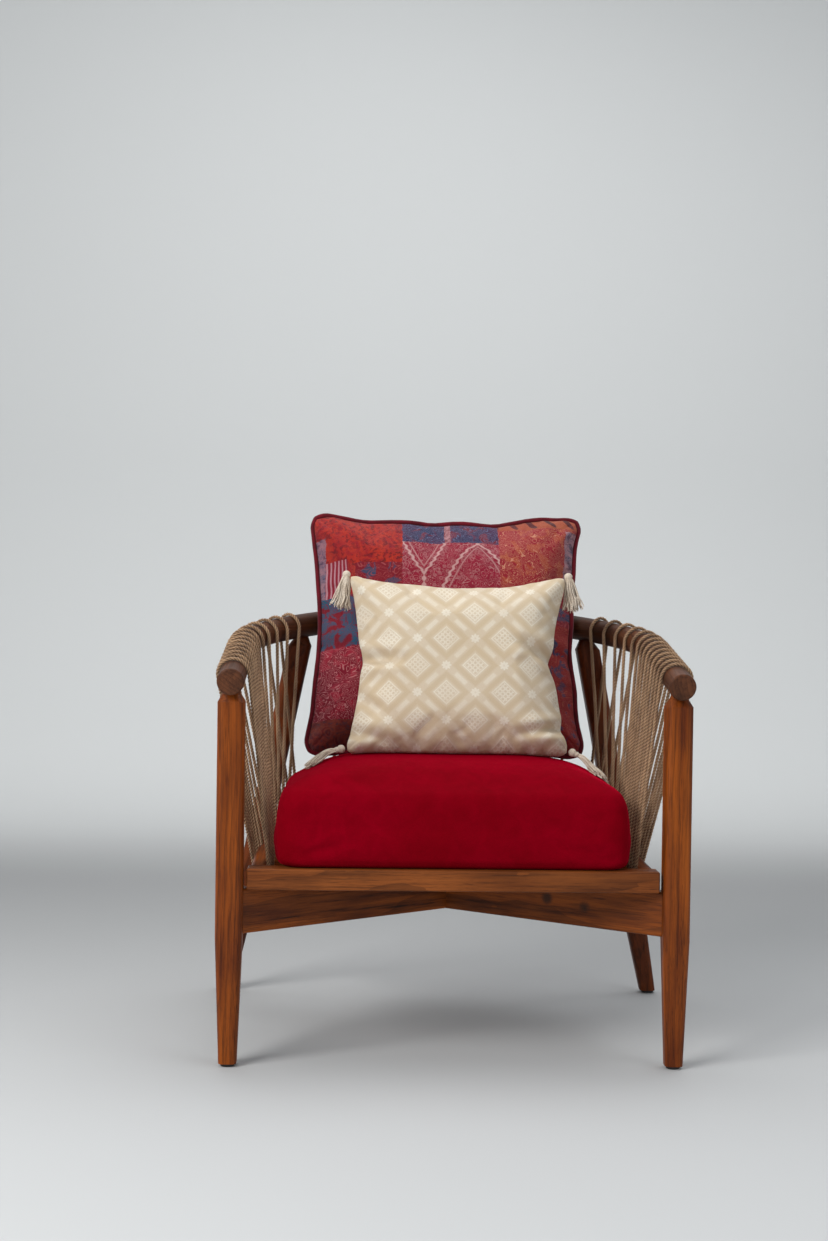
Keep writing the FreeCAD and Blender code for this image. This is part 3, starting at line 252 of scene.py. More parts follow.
def build_grain():
    """Growth rings, dark streaks and pores in a solid block; X of the vector runs with them."""
    tree, s, given, result = new_group("Hardwood grain", [
        ("Vector", "Vector", None),
        ("Light", "Color", srgb(176, 98, 46)),
        ("Middle", "Color", srgb(134, 66, 26)),
        ("Dark", "Color", srgb(62, 28, 12)),
        ("Ring spacing", "Float", 0.009),
        ("Streaks", "Float", 0.5),
    ], [("Color", "Color"), ("Roughness", "Float"), ("Height", "Float")])
    along, across, depth = s.split(given["Vector"])
    slow = s.join(s.calc("MULTIPLY", along, 2.2), s.calc("MULTIPLY", across, 9.0),
                  s.calc("MULTIPLY", depth, 9.0))
    sway = s.noise(slow, 1.0, 3.0, 0.55)
    drift = s.calc("MULTIPLY", s.calc("SUBTRACT", sway, 0.5), 0.05)
    a = s.calc("ADD", s.calc("ADD", across, 0.031), drift)
    d = s.calc("ADD", depth, 0.043)
    radius = s.calc("SQRT", s.calc("ADD", s.calc("MULTIPLY", a, a), s.calc("MULTIPLY", d, d)))
    turns = s.calc("DIVIDE", radius, given["Ring spacing"])
    saw = s.calc("FRACT", turns)
    ring = s.calc("POWER", saw, 2.6)
    wave = s.calc("MULTIPLY", s.calc("SUBTRACT", s.noise(slow, 0.8, 2.0), 0.5), 0.012)
    fine = s.join(s.calc("MULTIPLY", along, 9.0),
                  s.calc("MULTIPLY", s.calc("ADD", across, wave), 330.0),
                  s.calc("MULTIPLY", s.calc("ADD", depth, wave), 330.0))
    streak = s.noise(fine, 1.0, 4.0, 0.65, 0.35)
    thin = s.noise(fine, 2.6, 3.0, 0.6, 0.5)
    bands = s.noise(s.vector("MULTIPLY", fine, (0.35, 0.22, 0.22)), 1.0, 3.0, 0.6)
    dense = s.between(bands, 0.36, 0.64, 0.35, 1.0)
    lines = s.calc("MULTIPLY", s.calc("MAXIMUM", s.between(streak, 0.52, 0.66),
                                      s.between(thin, 0.54, 0.66)), dense)
    pore_at = s.join(s.calc("MULTIPLY", along, 60.0), s.calc("MULTIPLY", across, 1500.0),
                     s.calc("MULTIPLY", depth, 1500.0))
    pores = s.between(s.noise(pore_at, 1.0, 1.0), 0.55, 0.75)
    broad = s.noise(slow, 2.3, 2.0, 0.5)
    tone = s.calc("ADD", s.calc("MULTIPLY", broad, 0.55), s.calc("MULTIPLY", bands, 0.45))
    ground = s.mix(s.between(tone, 0.36, 0.62), given["Light"], given["Middle"])
    ringed = s.mix(s.calc("MULTIPLY", ring, 0.4), ground, given["Dark"])
    streaky = s.mix(s.calc("MULTIPLY", lines, given["Streaks"]), ringed, given["Dark"])
    porous = s.mix(s.calc("MULTIPLY", pores, 0.22), streaky, given["Dark"])
    s.feed(result["Color"], porous)
    s.feed(result["Roughness"], s.between(streak, 0.2, 0.8, 0.38, 0.56))
    sunk = s.calc("ADD", s.calc("MULTIPLY", pores, 0.7), s.calc("MULTIPLY", lines, 0.5))
    s.feed(result["Height"], s.calc("SUBTRACT", 1.0, sunk))
    return tree


GRAIN = build_grain()
WOOD_LIGHT, WOOD_MIDDLE, WOOD_DARK = srgb(163, 82, 19), srgb(104, 44, 7), srgb(28, 9, 3)


def wood(name, axis, shift, knots=(), spacing=0.009, streaks=0.72, light=WOOD_LIGHT,
         middle=WOOD_MIDDLE, dark=WOOD_DARK, arc=None):
    """Hardwood whose grain runs along an axis, or round an arc: its centre's Y and its radius."""
    material, s, surface = new_material("Hardwood, " + name, Specular_IOR_Level=0.2)
    here = s.here()
    axis = Vector(axis).normalized()
    if arc:
        arc_y, arc_radius = arc
        x, y, z = s.split(here)
        local_y = s.calc("SUBTRACT", y, arc_y)
        angle = s.calc("ARCTAN2", local_y, x)
        flat = s.join(x, local_y, 0.0)
        along = s.calc("MULTIPLY", angle, arc_radius)
        across = s.calc("SUBTRACT", s.vector("LENGTH", flat), arc_radius)
        where = s.join(s.calc("ADD", along, shift), across, z)
    else:
        side = axis.orthogonal().normalized() if abs(axis.z) > 0.9 else axis.cross(Z_AXIS)
        side.normalize()
        other = axis.cross(side)
        parts = [s.vector("DOT_PRODUCT", here, tuple(v)) for v in (axis, side, other)]
        where = s.join(s.calc("ADD", parts[0], shift), s.calc("ADD", parts[1], shift * 0.37),
                       parts[2])
    grain = s.group(GRAIN, {
        "Vector": where, "Light": light, "Middle": middle, "Dark": dark,
        "Ring spacing": spacing, "Streaks": streaks,
    })
    colour = grain["Color"]
    for *spot, size in knots:
        distance = s.vector("LENGTH", s.vector("SUBTRACT", here, tuple(spot)))
        wobble = s.calc("MULTIPLY", s.noise(here, 180.0), 0.004)
        edge = s.calc("ADD", distance, wobble)
        mask = s.between(edge, size * 0.7, size * 1.5, 0.85, 0.0, smooth=True)
        colour = s.mix(mask, colour, srgb(44, 28, 20))
    s.feed(surface.inputs["Base Color"], colour)
    s.feed(surface.inputs["Roughness"], grain["Roughness"])
    bump(s, surface, grain["Height"], 0.0002, 0.5)
    return material


def cover(node, material):
    """Gives a CAD node a new finish."""
    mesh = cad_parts[node].data
    for index in range(max(1, len(mesh.materials))):
        if index < len(mesh.materials):
            mesh.materials[index] = material
        else:
            mesh.materials.append(material)


rail_tilt = SIZES["rail tilt"]
slope = Vector((0, math.cos(rail_tilt), math.sin(rail_tilt)))
corner_x = SIZES["rail half width"] - SIZES["rail corner radius"]
corner_turn = SIZES["rail corner angle"]
back_radius = SIZES["rail corner radius"] + corner_x / math.cos(corner_turn)
rail_centre = SIZES["rail depth"] - back_radius
centre_step = corner_x * math.tan(corner_turn)
rail_straight = rail_centre + centre_step
corner_end = rail_straight + SIZES["rail corner radius"] * corner_turn
hoop_centre = SIZES["rail depth"] * math.cos(rail_tilt) - back_radius
hoop_straight = hoop_centre + centre_step

# Dark knots in the right brace: place and size.
RIGHT_BRACE_KNOTS = ((0.161, -0.138, 0.243, 0.011), (0.218, -0.175, 0.236, 0.011),
                     (0.318, -0.243, 0.232, 0.007))

for index, name in enumerate(("left", "right")):
    side = index * 2 - 1
    cover("front_leg_" + name, wood("front leg " + name, Z_AXIS, 0.31 + 0.53 * index))
    lean = Vector((-side * 0.13, 0.0, 0.69))
    # The back legs get darker wood colours than the other legs: painted shade, for legs that stand
    # in shadow behind the lacing.
    cover("back_leg_" + name, wood("back leg " + name, lean, 1.7 + 0.4 * index,
                                   light=srgb(128, 60, 18), middle=srgb(82, 34, 8)))
    cover("rail_%s_arm" % name, wood(
        "arm " + name, slope, 2.3 + 0.7 * index, spacing=0.006, streaks=0.7,
        light=srgb(106, 62, 38), middle=srgb(68, 38, 23), dark=srgb(28, 15, 9)))
    brace = Vector((-side * 0.69, 0.47, 0))
    cover("cross_brace_" + name, wood(
        "brace " + name, brace, 3.1 + 0.6 * index, spacing=0.014, streaks=0.85,
        light=srgb(160, 82, 24), middle=srgb(88, 38, 8),
        knots=RIGHT_BRACE_KNOTS if side > 0 else ()))
    cover("seat_side_rail_" + name, wood("side rail " + name, Y_AXIS, 4.2 + 0.5 * index))
    cover("seat_bearer_" + name, wood("bearer " + name, Y_AXIS, 4.9 + 0.3 * index))
    cover("rail_dowel_" + name, wood("rail dowel " + name, X_AXIS, 5.1))
cover("rail_back", wood(
    "back rail", X_AXIS, 0.6, spacing=0.007, arc=(rail_centre - FRONT, back_radius),
    light=srgb(92, 50, 26), middle=srgb(60, 31, 15), dark=srgb(28, 14, 8)))
cover("seat_back_rail", wood(
    "seat back rail", X_AXIS, 0.9,
    arc=(hoop_centre - FRONT, back_radius - SIZES["hoop inset"])))
cover("seat_front_board", wood("front board", X_AXIS, 5.6, spacing=0.011, streaks=0.65,
                               light=srgb(150, 82, 34), middle=srgb(108, 54, 18)))
cover("seat_frame_dowels", wood("dowels", Y_AXIS, 6.1))
for index in range(5):
    cover("seat_slat_%d" % (index + 1), wood("slat %d" % (index + 1), X_AXIS, 7 + 0.6 * index))


def dark_glide():
    material, s, surface = new_material("Moulded glide", 0.6)
    here = s.here()
    grit = s.noise(here, 900.0, 2.0)
    s.feed(surface.inputs["Base Color"], s.mix(grit, srgb(22, 20, 19), srgb(44, 40, 37)))
    s.feed(surface.inputs["Roughness"], s.between(grit, 0.3, 0.7, 0.5, 0.72))
    bump(s, surface, grit, 0.0001, 0.4)
    return material


def screw_steel():
    material, s, surface = new_material("Screw steel", 0.35, Metallic=1.0)
    here = s.here()
    x, y, z = s.split(here)
    turned = s.noise(s.join(s.calc("MULTIPLY", x, 80.0), s.calc("MULTIPLY", y, 80.0),
                            s.calc("MULTIPLY", z, 4000.0)), 1.0, 2.0)
    s.feed(surface.inputs["Base Color"], s.mix(turned, srgb(150, 150, 148), srgb(196, 196, 194)))
    s.feed(surface.inputs["Roughness"], s.between(turned, 0.3, 0.7, 0.28, 0.46))
    return material


glide = dark_glide()
for place in ("front_left", "front_right", "back_left", "back_right"):
    cover("foot_glide_" + place, glide)
cover("seat_screws", screw_steel())


# Cloth finishes.

def build_weave():
    """Plain weave: raised warp and weft threads over a surface laid out in metres, and a mask of
    the gaps between threads, where the finishes paint shade.
    """
    tree, s, given, result = new_group("Plain weave", [
        ("Vector", "Vector", None), ("Thread", "Float", 0.0012),
    ], [("Height", "Float"), ("Gap shade", "Float")])
    x, y = s.split(given["Vector"])[:2]
    cross = s.calc("DIVIDE", math.pi, given["Thread"])
    wave_x = s.calc("SINE", s.calc("MULTIPLY", x, cross))
    wave_y = s.calc("SINE", s.calc("MULTIPLY", y, cross))
    over = s.calc("MULTIPLY", wave_x, wave_y)
    threads = s.calc("MAXIMUM", s.calc("ABSOLUTE", wave_x), s.calc("ABSOLUTE", wave_y))
    raised = s.calc("ADD", s.calc("MULTIPLY", over, 0.5), threads)
    uneven = s.noise(given["Vector"], 260.0, 2.0)
    s.feed(result["Height"], s.calc("ADD", raised, s.calc("MULTIPLY", uneven, 0.5)))
    s.feed(result["Gap shade"], s.between(threads, 0.45, 0.8, 1.0, 0.0))
    return tree


WEAVE = build_weave()


def cord_finish():
    material, s, surface = new_material("Twisted cord", 0.88, Sheen_Weight=0.12,
                                        Specular_IOR_Level=0.2)
    here = s.here()
    fibre = s.noise(here, 900.0, 3.0, 0.6)
    patch = s.noise(here, 40.0, 3.0, 0.6)
    groove_shade = s.add("ShaderNodeAttribute", attribute_name="groove_shade").outputs["Fac"]
    apart = s.noise(s.vector("MULTIPLY", here, (1.0, 1.0, 0.12)), 75.0, 2.0, 0.6)
    tone = s.calc("ADD", s.calc("MULTIPLY", patch, 0.45), s.calc("MULTIPLY", apart, 0.55))
    ground = s.mix(s.between(tone, 0.38, 0.62), srgb(122, 90, 64), srgb(188, 150, 114))
    fuzzy = s.mix(s.between(fibre, 0.4, 0.75, 0.0, 0.75), ground, srgb(212, 180, 148))
    # The grooves between the strands are mixed towards dark brown: painted shade.
    s.feed(surface.inputs["Base Color"],
           s.mix(s.between(groove_shade, 0.0, 0.6, 0.85, 0.0), fuzzy, srgb(54, 33, 19)))
    s.feed(surface.inputs["Roughness"], s.between(fibre, 0.3, 0.7, 0.82, 0.95))
    bump(s, surface, fibre, 0.0004, 0.6)
    return material


def velvet_finish():
    material, s, surface = new_material(
        "Velvet", 0.92, Sheen_Weight=0.5, Sheen_Roughness=0.35, Sheen_Tint=srgb(225, 0, 52),
        Specular_IOR_Level=0.02)
    here = s.here()
    nap = s.noise(here, 7.0, 3.0, 0.55, 0.4)
    pile = s.noise(here, 1600.0, 2.0)
    brushed = s.noise(here, 38.0, 3.0, 0.6, 0.8)
    ground = s.mix(s.between(nap, 0.3, 0.7), srgb(126, 0, 16), srgb(144, 0, 24))
    stroked = s.mix(s.between(brushed, 0.35, 0.75, 0.0, 0.4), ground, srgb(104, 0, 10))
    s.feed(surface.inputs["Base Color"],
           s.mix(s.between(pile, 0.3, 0.7, 0.0, 0.35), stroked, srgb(86, 0, 8)))
    s.feed(surface.inputs["Roughness"], s.between(nap, 0.3, 0.7, 0.84, 0.95))
    height = s.calc("ADD", s.calc("MULTIPLY", pile, 0.4), brushed)
    bump(s, surface, height, 0.0008, 0.35)
    return material


def piping_finish():
    material, s, surface = new_material("Piping", 0.85, Sheen_Weight=0.2, Specular_IOR_Level=0.2)
    here = s.here()
    thread = s.noise(here, 1100.0, 2.0)
    fold = s.noise(here, 60.0, 2.0)
    ground = s.mix(s.between(fold, 0.3, 0.7), srgb(84, 4, 20), srgb(118, 8, 30))
    s.feed(surface.inputs["Base Color"], s.mix(s.between(thread, 0.4, 0.7, 0.0, 0.5), ground,
                                               srgb(60, 2, 14)))
    s.feed(surface.inputs["Roughness"], s.between(thread, 0.3, 0.7, 0.78, 0.92))
    bump(s, surface, s.calc("ADD", thread, fold), 0.0005, 0.5)
    return material


def yarn_finish():
    material, s, surface = new_material("Tassel yarn", 0.9, Sheen_Weight=0.1,
                                        Specular_IOR_Level=0.2)
    here = s.here()
    ply = s.noise(here, 700.0, 3.0, 0.6)
    tone = s.noise(here, 90.0, 2.0)
    ground = s.mix(s.between(tone, 0.3, 0.7), srgb(222, 208, 190), srgb(240, 230, 216))
    s.feed(surface.inputs["Base Color"], s.mix(s.between(ply, 0.3, 0.7, 0.7, 0.0), ground,
                                               srgb(160, 138, 114)))
    s.feed(surface.inputs["Roughness"], s.between(ply, 0.3, 0.7, 0.82, 0.95))
    bump(s, surface, ply, 0.0003, 0.5)
    return material


def lattice_finish():
    """Beige cotton with a woven lattice of dotted diamonds, stars and bars."""
    material, s, surface = new_material("Lattice cotton", 0.88, Sheen_Weight=0.1,
                                        Specular_IOR_Level=0.2)
    where = s.cloth()
    soft = s.noise(where, 700.0, 2.0, output="Color")
    shaken = s.vector("ADD", where, s.vector("MULTIPLY", s.vector("SUBTRACT", soft, (0.5,) * 3),
                                             (0.0016,) * 3))
    x, y = s.split(shaken)[:2]
    # Counts of half diamonds from the middle of a diamond, across and up.
    p = s.calc("DIVIDE", s.calc("ADD", x, -0.0255), 0.0478)
    q = s.calc("DIVIDE", s.calc("ADD", y, 0.0167), 0.0458)
    a = s.calc("ADD", p, q)
    b = s.calc("SUBTRACT", p, q)

    def folded(item):
        """Distance from the nearest even number, from 0 to 1."""
        return s.calc("ABSOLUTE", s.calc("SUBTRACT", s.calc(
            "FLOORED_MODULO", s.calc("ADD", item, 1.0), 2.0), 1.0))

    def strip(item, low, high, edge):
        """1 between two levels, with soft edges."""
        return s.calc("MULTIPLY", s.between(item, low - edge, low + edge),
                      s.between(item, high - edge, high + edge, 1.0, 0.0))

    fa, fb = folded(a), folded(b)
    ring = s.calc("MAXIMUM", fa, fb)
    low = s.calc("MINIMUM", fa, fb)
    outline = strip(ring, 0.40, 0.455, 0.022)
    inside = s.between(ring, 0.35, 0.38, 1.0, 0.0)
    wave_a, wave_b = [s.calc("ABSOLUTE", s.calc("SINE", s.calc("MULTIPLY", item, math.pi * 5.3)))
                      for item in (a, b)]
    holes = s.between(s.calc("MULTIPLY", wave_a, wave_b), 0.30, 0.62)
    pips = s.between(s.calc("ADD", wave_a, wave_b), 0.30, 0.62, 1.0, 0.0)
    mesh = s.calc("MULTIPLY", inside, s.calc("SUBTRACT", 0.9, s.calc("MULTIPLY", holes, 0.9)))
    mesh = s.calc("MULTIPLY", mesh, s.calc("SUBTRACT", 1.0, s.calc("MULTIPLY", pips, 0.8)))
    band = strip(ring, 0.54, 0.80, 0.05)
    bar = s.calc("MULTIPLY", s.between(ring, 0.86, 0.92), s.between(low, 0.32, 0.42, 1.0, 0.0))
    to_a = s.calc("SUBTRACT", 1.0, fa)
    to_b = s.calc("SUBTRACT", 1.0, fb)
    spread = s.calc("SQRT", s.calc("ADD", s.calc("MULTIPLY", to_a, to_a),
                                   s.calc("MULTIPLY", to_b, to_b)))
    angle = s.calc("ARCTAN2", to_a, to_b)
    petal = s.calc("MULTIPLY", s.calc("ABSOLUTE", s.calc("COSINE", s.calc(
        "MULTIPLY", angle, 4.0))), 0.09)
    star = s.between(s.calc("SUBTRACT", spread, petal), 0.13, 0.18, 1.0, 0.0)
    heart = s.between(spread, 0.035, 0.06, 0.5, 0.0)
    star = s.calc("SUBTRACT", star, heart)
    white = s.calc("MAXIMUM", s.calc("MAXIMUM", outline, mesh), star)
    white = s.calc("MAXIMUM", white, s.calc("MULTIPLY", bar, 0.62))
    thread = s.noise(s.vector("MULTIPLY", where, (1.0, 7.0, 1.0)), 420.0, 2.0)
    worn = s.calc("MULTIPLY", s.between(s.noise(where, 16.0, 2.0), 0.3, 0.62, 0.55, 1.0),
                  s.between(thread, 0.3, 0.55, 0.6, 1.0))
    shade = s.between(s.noise(where, 9.0, 2.0), 0.3, 0.7)
    plain = s.mix(shade, srgb(215, 197, 171), srgb(220, 205, 183))
    ground = s.mix(s.calc("MULTIPLY", band, 0.42), plain, srgb(200, 175, 136))
    patterned = s.mix(s.calc("MULTIPLY", white, worn), ground, srgb(238, 230, 214))
    weave = s.group(WEAVE, {"Vector": where, "Thread": 0.0012})
    # The gaps between threads are mixed towards a darker tan: painted shade.
    s.feed(surface.inputs["Base Color"],
           s.mix(s.calc("MULTIPLY", weave["Gap shade"], 0.30), patterned, srgb(158, 134, 94)))
    s.feed(surface.inputs["Roughness"], s.between(white, 0.0, 1.0, 0.92, 0.82))
    slub = s.noise(where, 60.0, 3.0, 0.6)
    height = s.calc("ADD", weave["Height"], s.calc("ADD", s.calc("MULTIPLY", white, 0.9),
                                                   s.calc("MULTIPLY", slub, 2.2)))
    bump(s, surface, height, 0.0005, 0.6)
    return material


def build_patch():
    """Mask of one rectangular patch, with a faintly uneven edge."""
    tree, s, given, result = new_group("Cloth patch", [
        ("Vector", "Vector", None), ("Left", "Float", 0.0), ("Right", "Float", 0.1),
        ("Bottom", "Float", 0.0), ("Top", "Float", 0.1),
    ], [("Mask", "Float")])
    x, y = s.split(given["Vector"])[:2]
    shake = s.calc("MULTIPLY", s.calc("SUBTRACT", s.noise(given["Vector"], 120.0), 0.5), 0.006)
    x, y = s.calc("ADD", x, shake), s.calc("ADD", y, shake)
    mask = s.calc("GREATER_THAN", x, given["Left"])
    for item, limit, test in ((x, "Right", "LESS_THAN"), (y, "Bottom", "GREATER_THAN"),
                              (y, "Top", "LESS_THAN")):
        mask = s.calc("MULTIPLY", mask, s.calc(test, item, given[limit]))
    s.feed(result["Mask"], mask)
    return tree


def build_floral():
    """Dense printed blossoms: cells ringed by petals over a mottled ground."""
    tree, s, given, result = new_group("Floral print", [
        ("Vector", "Vector", None), ("Scale", "Float", 40.0),
        ("Ground", "Color", (0.5, 0.1, 0.1)), ("Petals", "Color", (0.6, 0.3, 0.1)),
        ("Outline", "Color", (0.1, 0.02, 0.02)),
    ], [("Color", "Color")])
    bend = s.noise(given["Vector"], 30.0, 2.0, output="Color")
    where = s.vector("ADD", given["Vector"], s.vector(
        "MULTIPLY", s.vector("SUBTRACT", bend, (0.5,) * 3), (0.02,) * 3))
    distance = s.cells(where, given["Scale"])
    waves = s.calc("SINE", s.calc("MULTIPLY", distance, 26.0))
    rings = s.between(waves, -0.2, 0.5)
    mottle = s.noise(where, 55.0, 3.0, 0.6)
    ground = s.mix(s.between(mottle, 0.35, 0.65), given["Ground"], given["Petals"])
    petals = s.mix(s.calc("MULTIPLY", rings, s.between(distance, 0.15, 0.75, 0.9, 0.25)),
                   ground, given["Petals"])
    veins = s.between(s.noise(where, 150.0, 2.0, 0.6), 0.5, 0.62)
    dark = s.calc("MULTIPLY", veins, s.between(distance, 0.1, 0.6, 0.35, 0.75))
    s.feed(result["Color"], s.mix(dark, petals, given["Outline"]))
    return tree


def build_scrolls():
    """Printed scrolls: pale outlines that curl through a plain ground."""
    tree, s, given, result = new_group("Scroll print", [
        ("Vector", "Vector", None), ("Scale", "Float", 30.0),
        ("Ground", "Color", (0.5, 0.1, 0.1)), ("Line", "Color", (0.8, 0.5, 0.5)),
        ("Accent", "Color", (0.1, 0.2, 0.4)),
    ], [("Color", "Color")])
    swirl = s.noise(given["Vector"], given["Scale"], 1.5, 0.5, 1.6)
    lines = s.calc("ABSOLUTE", s.calc("SINE", s.calc("MULTIPLY", swirl, 42.0)))
    pale = s.between(lines, 0.18, 0.42, 1.0, 0.0)
    twist = s.noise(given["Vector"], 46.0, 2.0, 0.5, 0.8)
    accent = s.between(twist, 0.53, 0.6)
    ground = s.mix(accent, given["Ground"], given["Accent"])
    s.feed(result["Color"], s.mix(s.calc("MULTIPLY", pale, 0.8), ground, given["Line"]))
    return tree


PATCH, FLORAL, SCROLLS = build_patch(), build_floral(), build_scrolls()


def patchwork_finish():
    """Printed patchwork: florals, scrolls, a pointed-arch block and stripes."""
    material, s, surface = new_material("Patchwork cotton", 0.86, Sheen_Weight=0.1,
                                        Specular_IOR_Level=0.2)
    where = s.cloth()
    x, y = s.split(where)[:2]
    maroon, navy, pale = srgb(80, 6, 22), srgb(36, 40, 74), srgb(184, 136, 142)

    def floral(scale, ground, petals, outline):
        return s.group(FLORAL, {"Vector": where, "Scale": scale, "Ground": ground,
                                "Petals": petals, "Outline": outline})["Color"]

    def scrolls(scale, ground, line, accent):
        return s.group(SCROLLS, {"Vector": where, "Scale": scale, "Ground": ground,
                                 "Line": line, "Accent": accent})["Color"]

    def curve_line(middle, width, inner):
        """A pale line that follows a half width about a middle, with a fainter one inside."""
        across = s.calc("ABSOLUTE", s.calc("SUBTRACT", x, middle))
        off = s.calc("SUBTRACT", across, width)
        scallop = s.calc("MULTIPLY", s.calc("SINE", s.calc("MULTIPLY", y, 520.0)), 0.0016)
        near = s.calc("ABSOLUTE", s.calc("ADD", off, scallop))
        far = s.calc("ABSOLUTE", s.calc("ADD", off, inner))
        return s.calc("MAXIMUM", s.between(near, 0.0016, 0.0034, 1.0, 0.0),
                      s.between(far, 0.0008, 0.0020, 0.6, 0.0))

    def arches():
        """A funnel and a pointed arch outlined in pale thread, among small rings."""
        fall = s.calc("MAXIMUM", s.calc("SUBTRACT", 0.153, y), 0.0)
        arch = curve_line(0.055, s.calc("MULTIPLY", s.calc("POWER", fall, 0.62), 0.28), 0.011)
        climb = s.calc("MAXIMUM", s.calc("SUBTRACT", y, 0.094), 0.0)
        funnel = curve_line(-0.040, s.calc("MULTIPLY", s.calc("POWER", climb, 0.75), 0.29), 0.010)
        spot = s.calc("ABSOLUTE", s.calc("SUBTRACT", s.cells(where, 95.0), 0.3))
        rings = s.between(spot, 0.03, 0.12, 0.3, 0.0)
        curls = s.calc("ABSOLUTE", s.calc("SINE", s.calc(
            "MULTIPLY", s.noise(where, 42.0, 1.5, 0.5, 1.4), 40.0)))
        rings = s.calc("MAXIMUM", rings, s.between(curls, 0.16, 0.4, 0.55, 0.0))
        ground = s.mix(s.noise(where, 60.0, 3.0, 0.6), srgb(116, 6, 34), srgb(166, 30, 60))
        marked = s.calc("MAXIMUM", s.calc("MAXIMUM", arch, funnel), rings)
        return s.mix(marked, ground, srgb(202, 158, 156))

    def stripes(ground, line, width):
        wave = s.calc("SINE", s.calc("MULTIPLY", x, 2 * math.pi / width))
        return s.mix(s.between(wave, 0.1, 0.5), ground, line)

    def leaves():
        """A border row of dark leaves on a coral ground."""
        column = s.calc("SUBTRACT", s.calc("FLOORED_MODULO", x, 0.034), 0.017)
        slant = s.calc("ADD", column, s.calc("MULTIPLY", s.calc("SUBTRACT", y, 0.205), 0.7))
        level = s.calc("DIVIDE", s.calc("SUBTRACT", y, 0.205), 0.013)
        lens = s.calc("ADD", s.calc("POWER", s.calc("DIVIDE", slant, 0.0065), 2.0),
                      s.calc("POWER", level, 2.0))
        ground = s.mix(s.noise(where, 90.0, 2.0), srgb(150, 62, 40), srgb(186, 98, 62))
        return s.mix(s.between(lens, 0.8, 1.1, 0.9, 0.0), ground, srgb(58, 10, 26))

    # Each patch: its left, right, bottom and top edge in metres, and its print.
    patches = [
        (-0.30, -0.078, 0.112, 0.30,
         floral(30.0, srgb(140, 6, 26), srgb(186, 46, 22), srgb(78, 4, 20))),
        (-0.078, 0.093, 0.158, 0.30,
         scrolls(48.0, srgb(26, 36, 76), srgb(96, 116, 152), srgb(104, 14, 40))),
        (-0.003, 0.008, 0.158, 0.30, floral(50.0, srgb(120, 12, 34), pale, maroon)),
        (-0.078, 0.093, 0.0, 0.158, arches()),
        (0.093, 0.30, 0.065, 0.190,
         scrolls(44.0, srgb(152, 30, 42), srgb(212, 150, 120), srgb(172, 74, 50))),
        (0.093, 0.30, 0.190, 0.30, leaves()),
        (-0.19, -0.160, 0.055, 0.112, floral(60.0, srgb(150, 16, 30), srgb(178, 60, 44), maroon)),
        (-0.216, -0.174, 0.055, 0.120, stripes(srgb(140, 22, 44), srgb(188, 136, 146), 0.0072)),
        (-0.30, -0.216, 0.055, 0.165,
         floral(70.0, srgb(84, 92, 118), srgb(160, 120, 132), srgb(44, 44, 74))),
        (-0.30, -0.150, -0.036, 0.055,
         scrolls(24.0, srgb(0, 84, 112), srgb(124, 18, 42), srgb(118, 8, 32))),
        (-0.30, -0.150, -0.165, -0.036,
         scrolls(34.0, srgb(122, 8, 36), srgb(200, 132, 134), srgb(152, 26, 50))),
        (-0.30, -0.150, -0.30, -0.165,
         floral(40.0, srgb(92, 14, 22), srgb(136, 64, 48), srgb(52, 50, 62))),
        (-0.150, 0.150, -0.30, 0.0, floral(44.0, srgb(120, 16, 36), srgb(158, 52, 56), navy)),
        (0.150, 0.30, -0.30, 0.010,
         scrolls(24.0, srgb(146, 34, 34), srgb(172, 80, 62), srgb(40, 60, 94))),
        (0.214, 0.30, 0.075, 0.185, floral(70.0, srgb(88, 88, 112), pale, srgb(66, 28, 52))),
    ]
    colour = scrolls(26.0, srgb(124, 14, 32), srgb(168, 76, 78), srgb(30, 68, 98))
    for left, right, bottom, top, print_colour in patches:
        mask = s.group(PATCH, {"Vector": where, "Left": left, "Right": right,
                               "Bottom": bottom, "Top": top})["Mask"]
        colour = s.mix(mask, colour, print_colour)
    faded = s.mix(s.between(s.noise(where, 12.0, 3.0), 0.35, 0.7, 0.0, 0.25), colour,
                  srgb(150, 30, 40))
    weave = s.group(WEAVE, {"Vector": where, "Thread": 0.0010})
    # The gaps between threads are mixed towards dark maroon: painted shade.
    s.feed(surface.inputs["Base Color"],
           s.mix(s.calc("MULTIPLY", weave["Gap shade"], 0.35), faded, srgb(60, 8, 20)))
    s.feed(surface.inputs["Roughness"], s.between(weave["Height"], 0.0, 1.5, 0.9, 0.76))
    quilt = s.calc("ADD", s.noise(where, 55.0, 3.0, 0.6), s.noise(where, 150.0, 2.0))
    bump(s, surface, s.calc("ADD", weave["Height"], s.calc("MULTIPLY", quilt, 3.2)), 0.0006, 0.7)
    return material


CORD, VELVET, PIPING = cord_finish(), velvet_finish(), piping_finish()
YARN, LATTICE, PATCHWORK = yarn_finish(), lattice_finish(), patchwork_finish()


# Lacing. A station is a distance along the rail's axis, from beside a front leg's axis.

def along_rail(side, station, straight, corner_r, back_r, centre_y, shrink):
    """Centre and outward direction, in the plane of the rail or of the seat frame."""
    if station < rail_straight:
        outward = Vector((side, 0, 0))
        centre = Vector((side * (corner_x + corner_r), station * shrink, 0))
    elif station < corner_end:
        turn = (station - rail_straight) / SIZES["rail corner radius"]
        outward = Vector((side * math.cos(turn), math.sin(turn), 0))
        centre = Vector((side * corner_x, straight, 0)) + outward * corner_r
    else:
        turn = corner_turn + (station - corner_end) / back_radius
        outward = Vector((side * math.cos(turn), math.sin(turn), 0))
        centre = Vector((0, centre_y, 0)) + outward * back_r
    return centre, outward


def rail_station(side, station):
    centre, outward = along_rail(
        side, station, rail_straight, SIZES["rail corner radius"], back_radius, rail_centre, 1.0)
    turned = Matrix.Rotation(rail_tilt, 3, "X")
    centre = turned @ centre + Vector((0, -FRONT, SIZES["rail height"]))
    return centre, turned @ outward, turned @ Z_AXIS


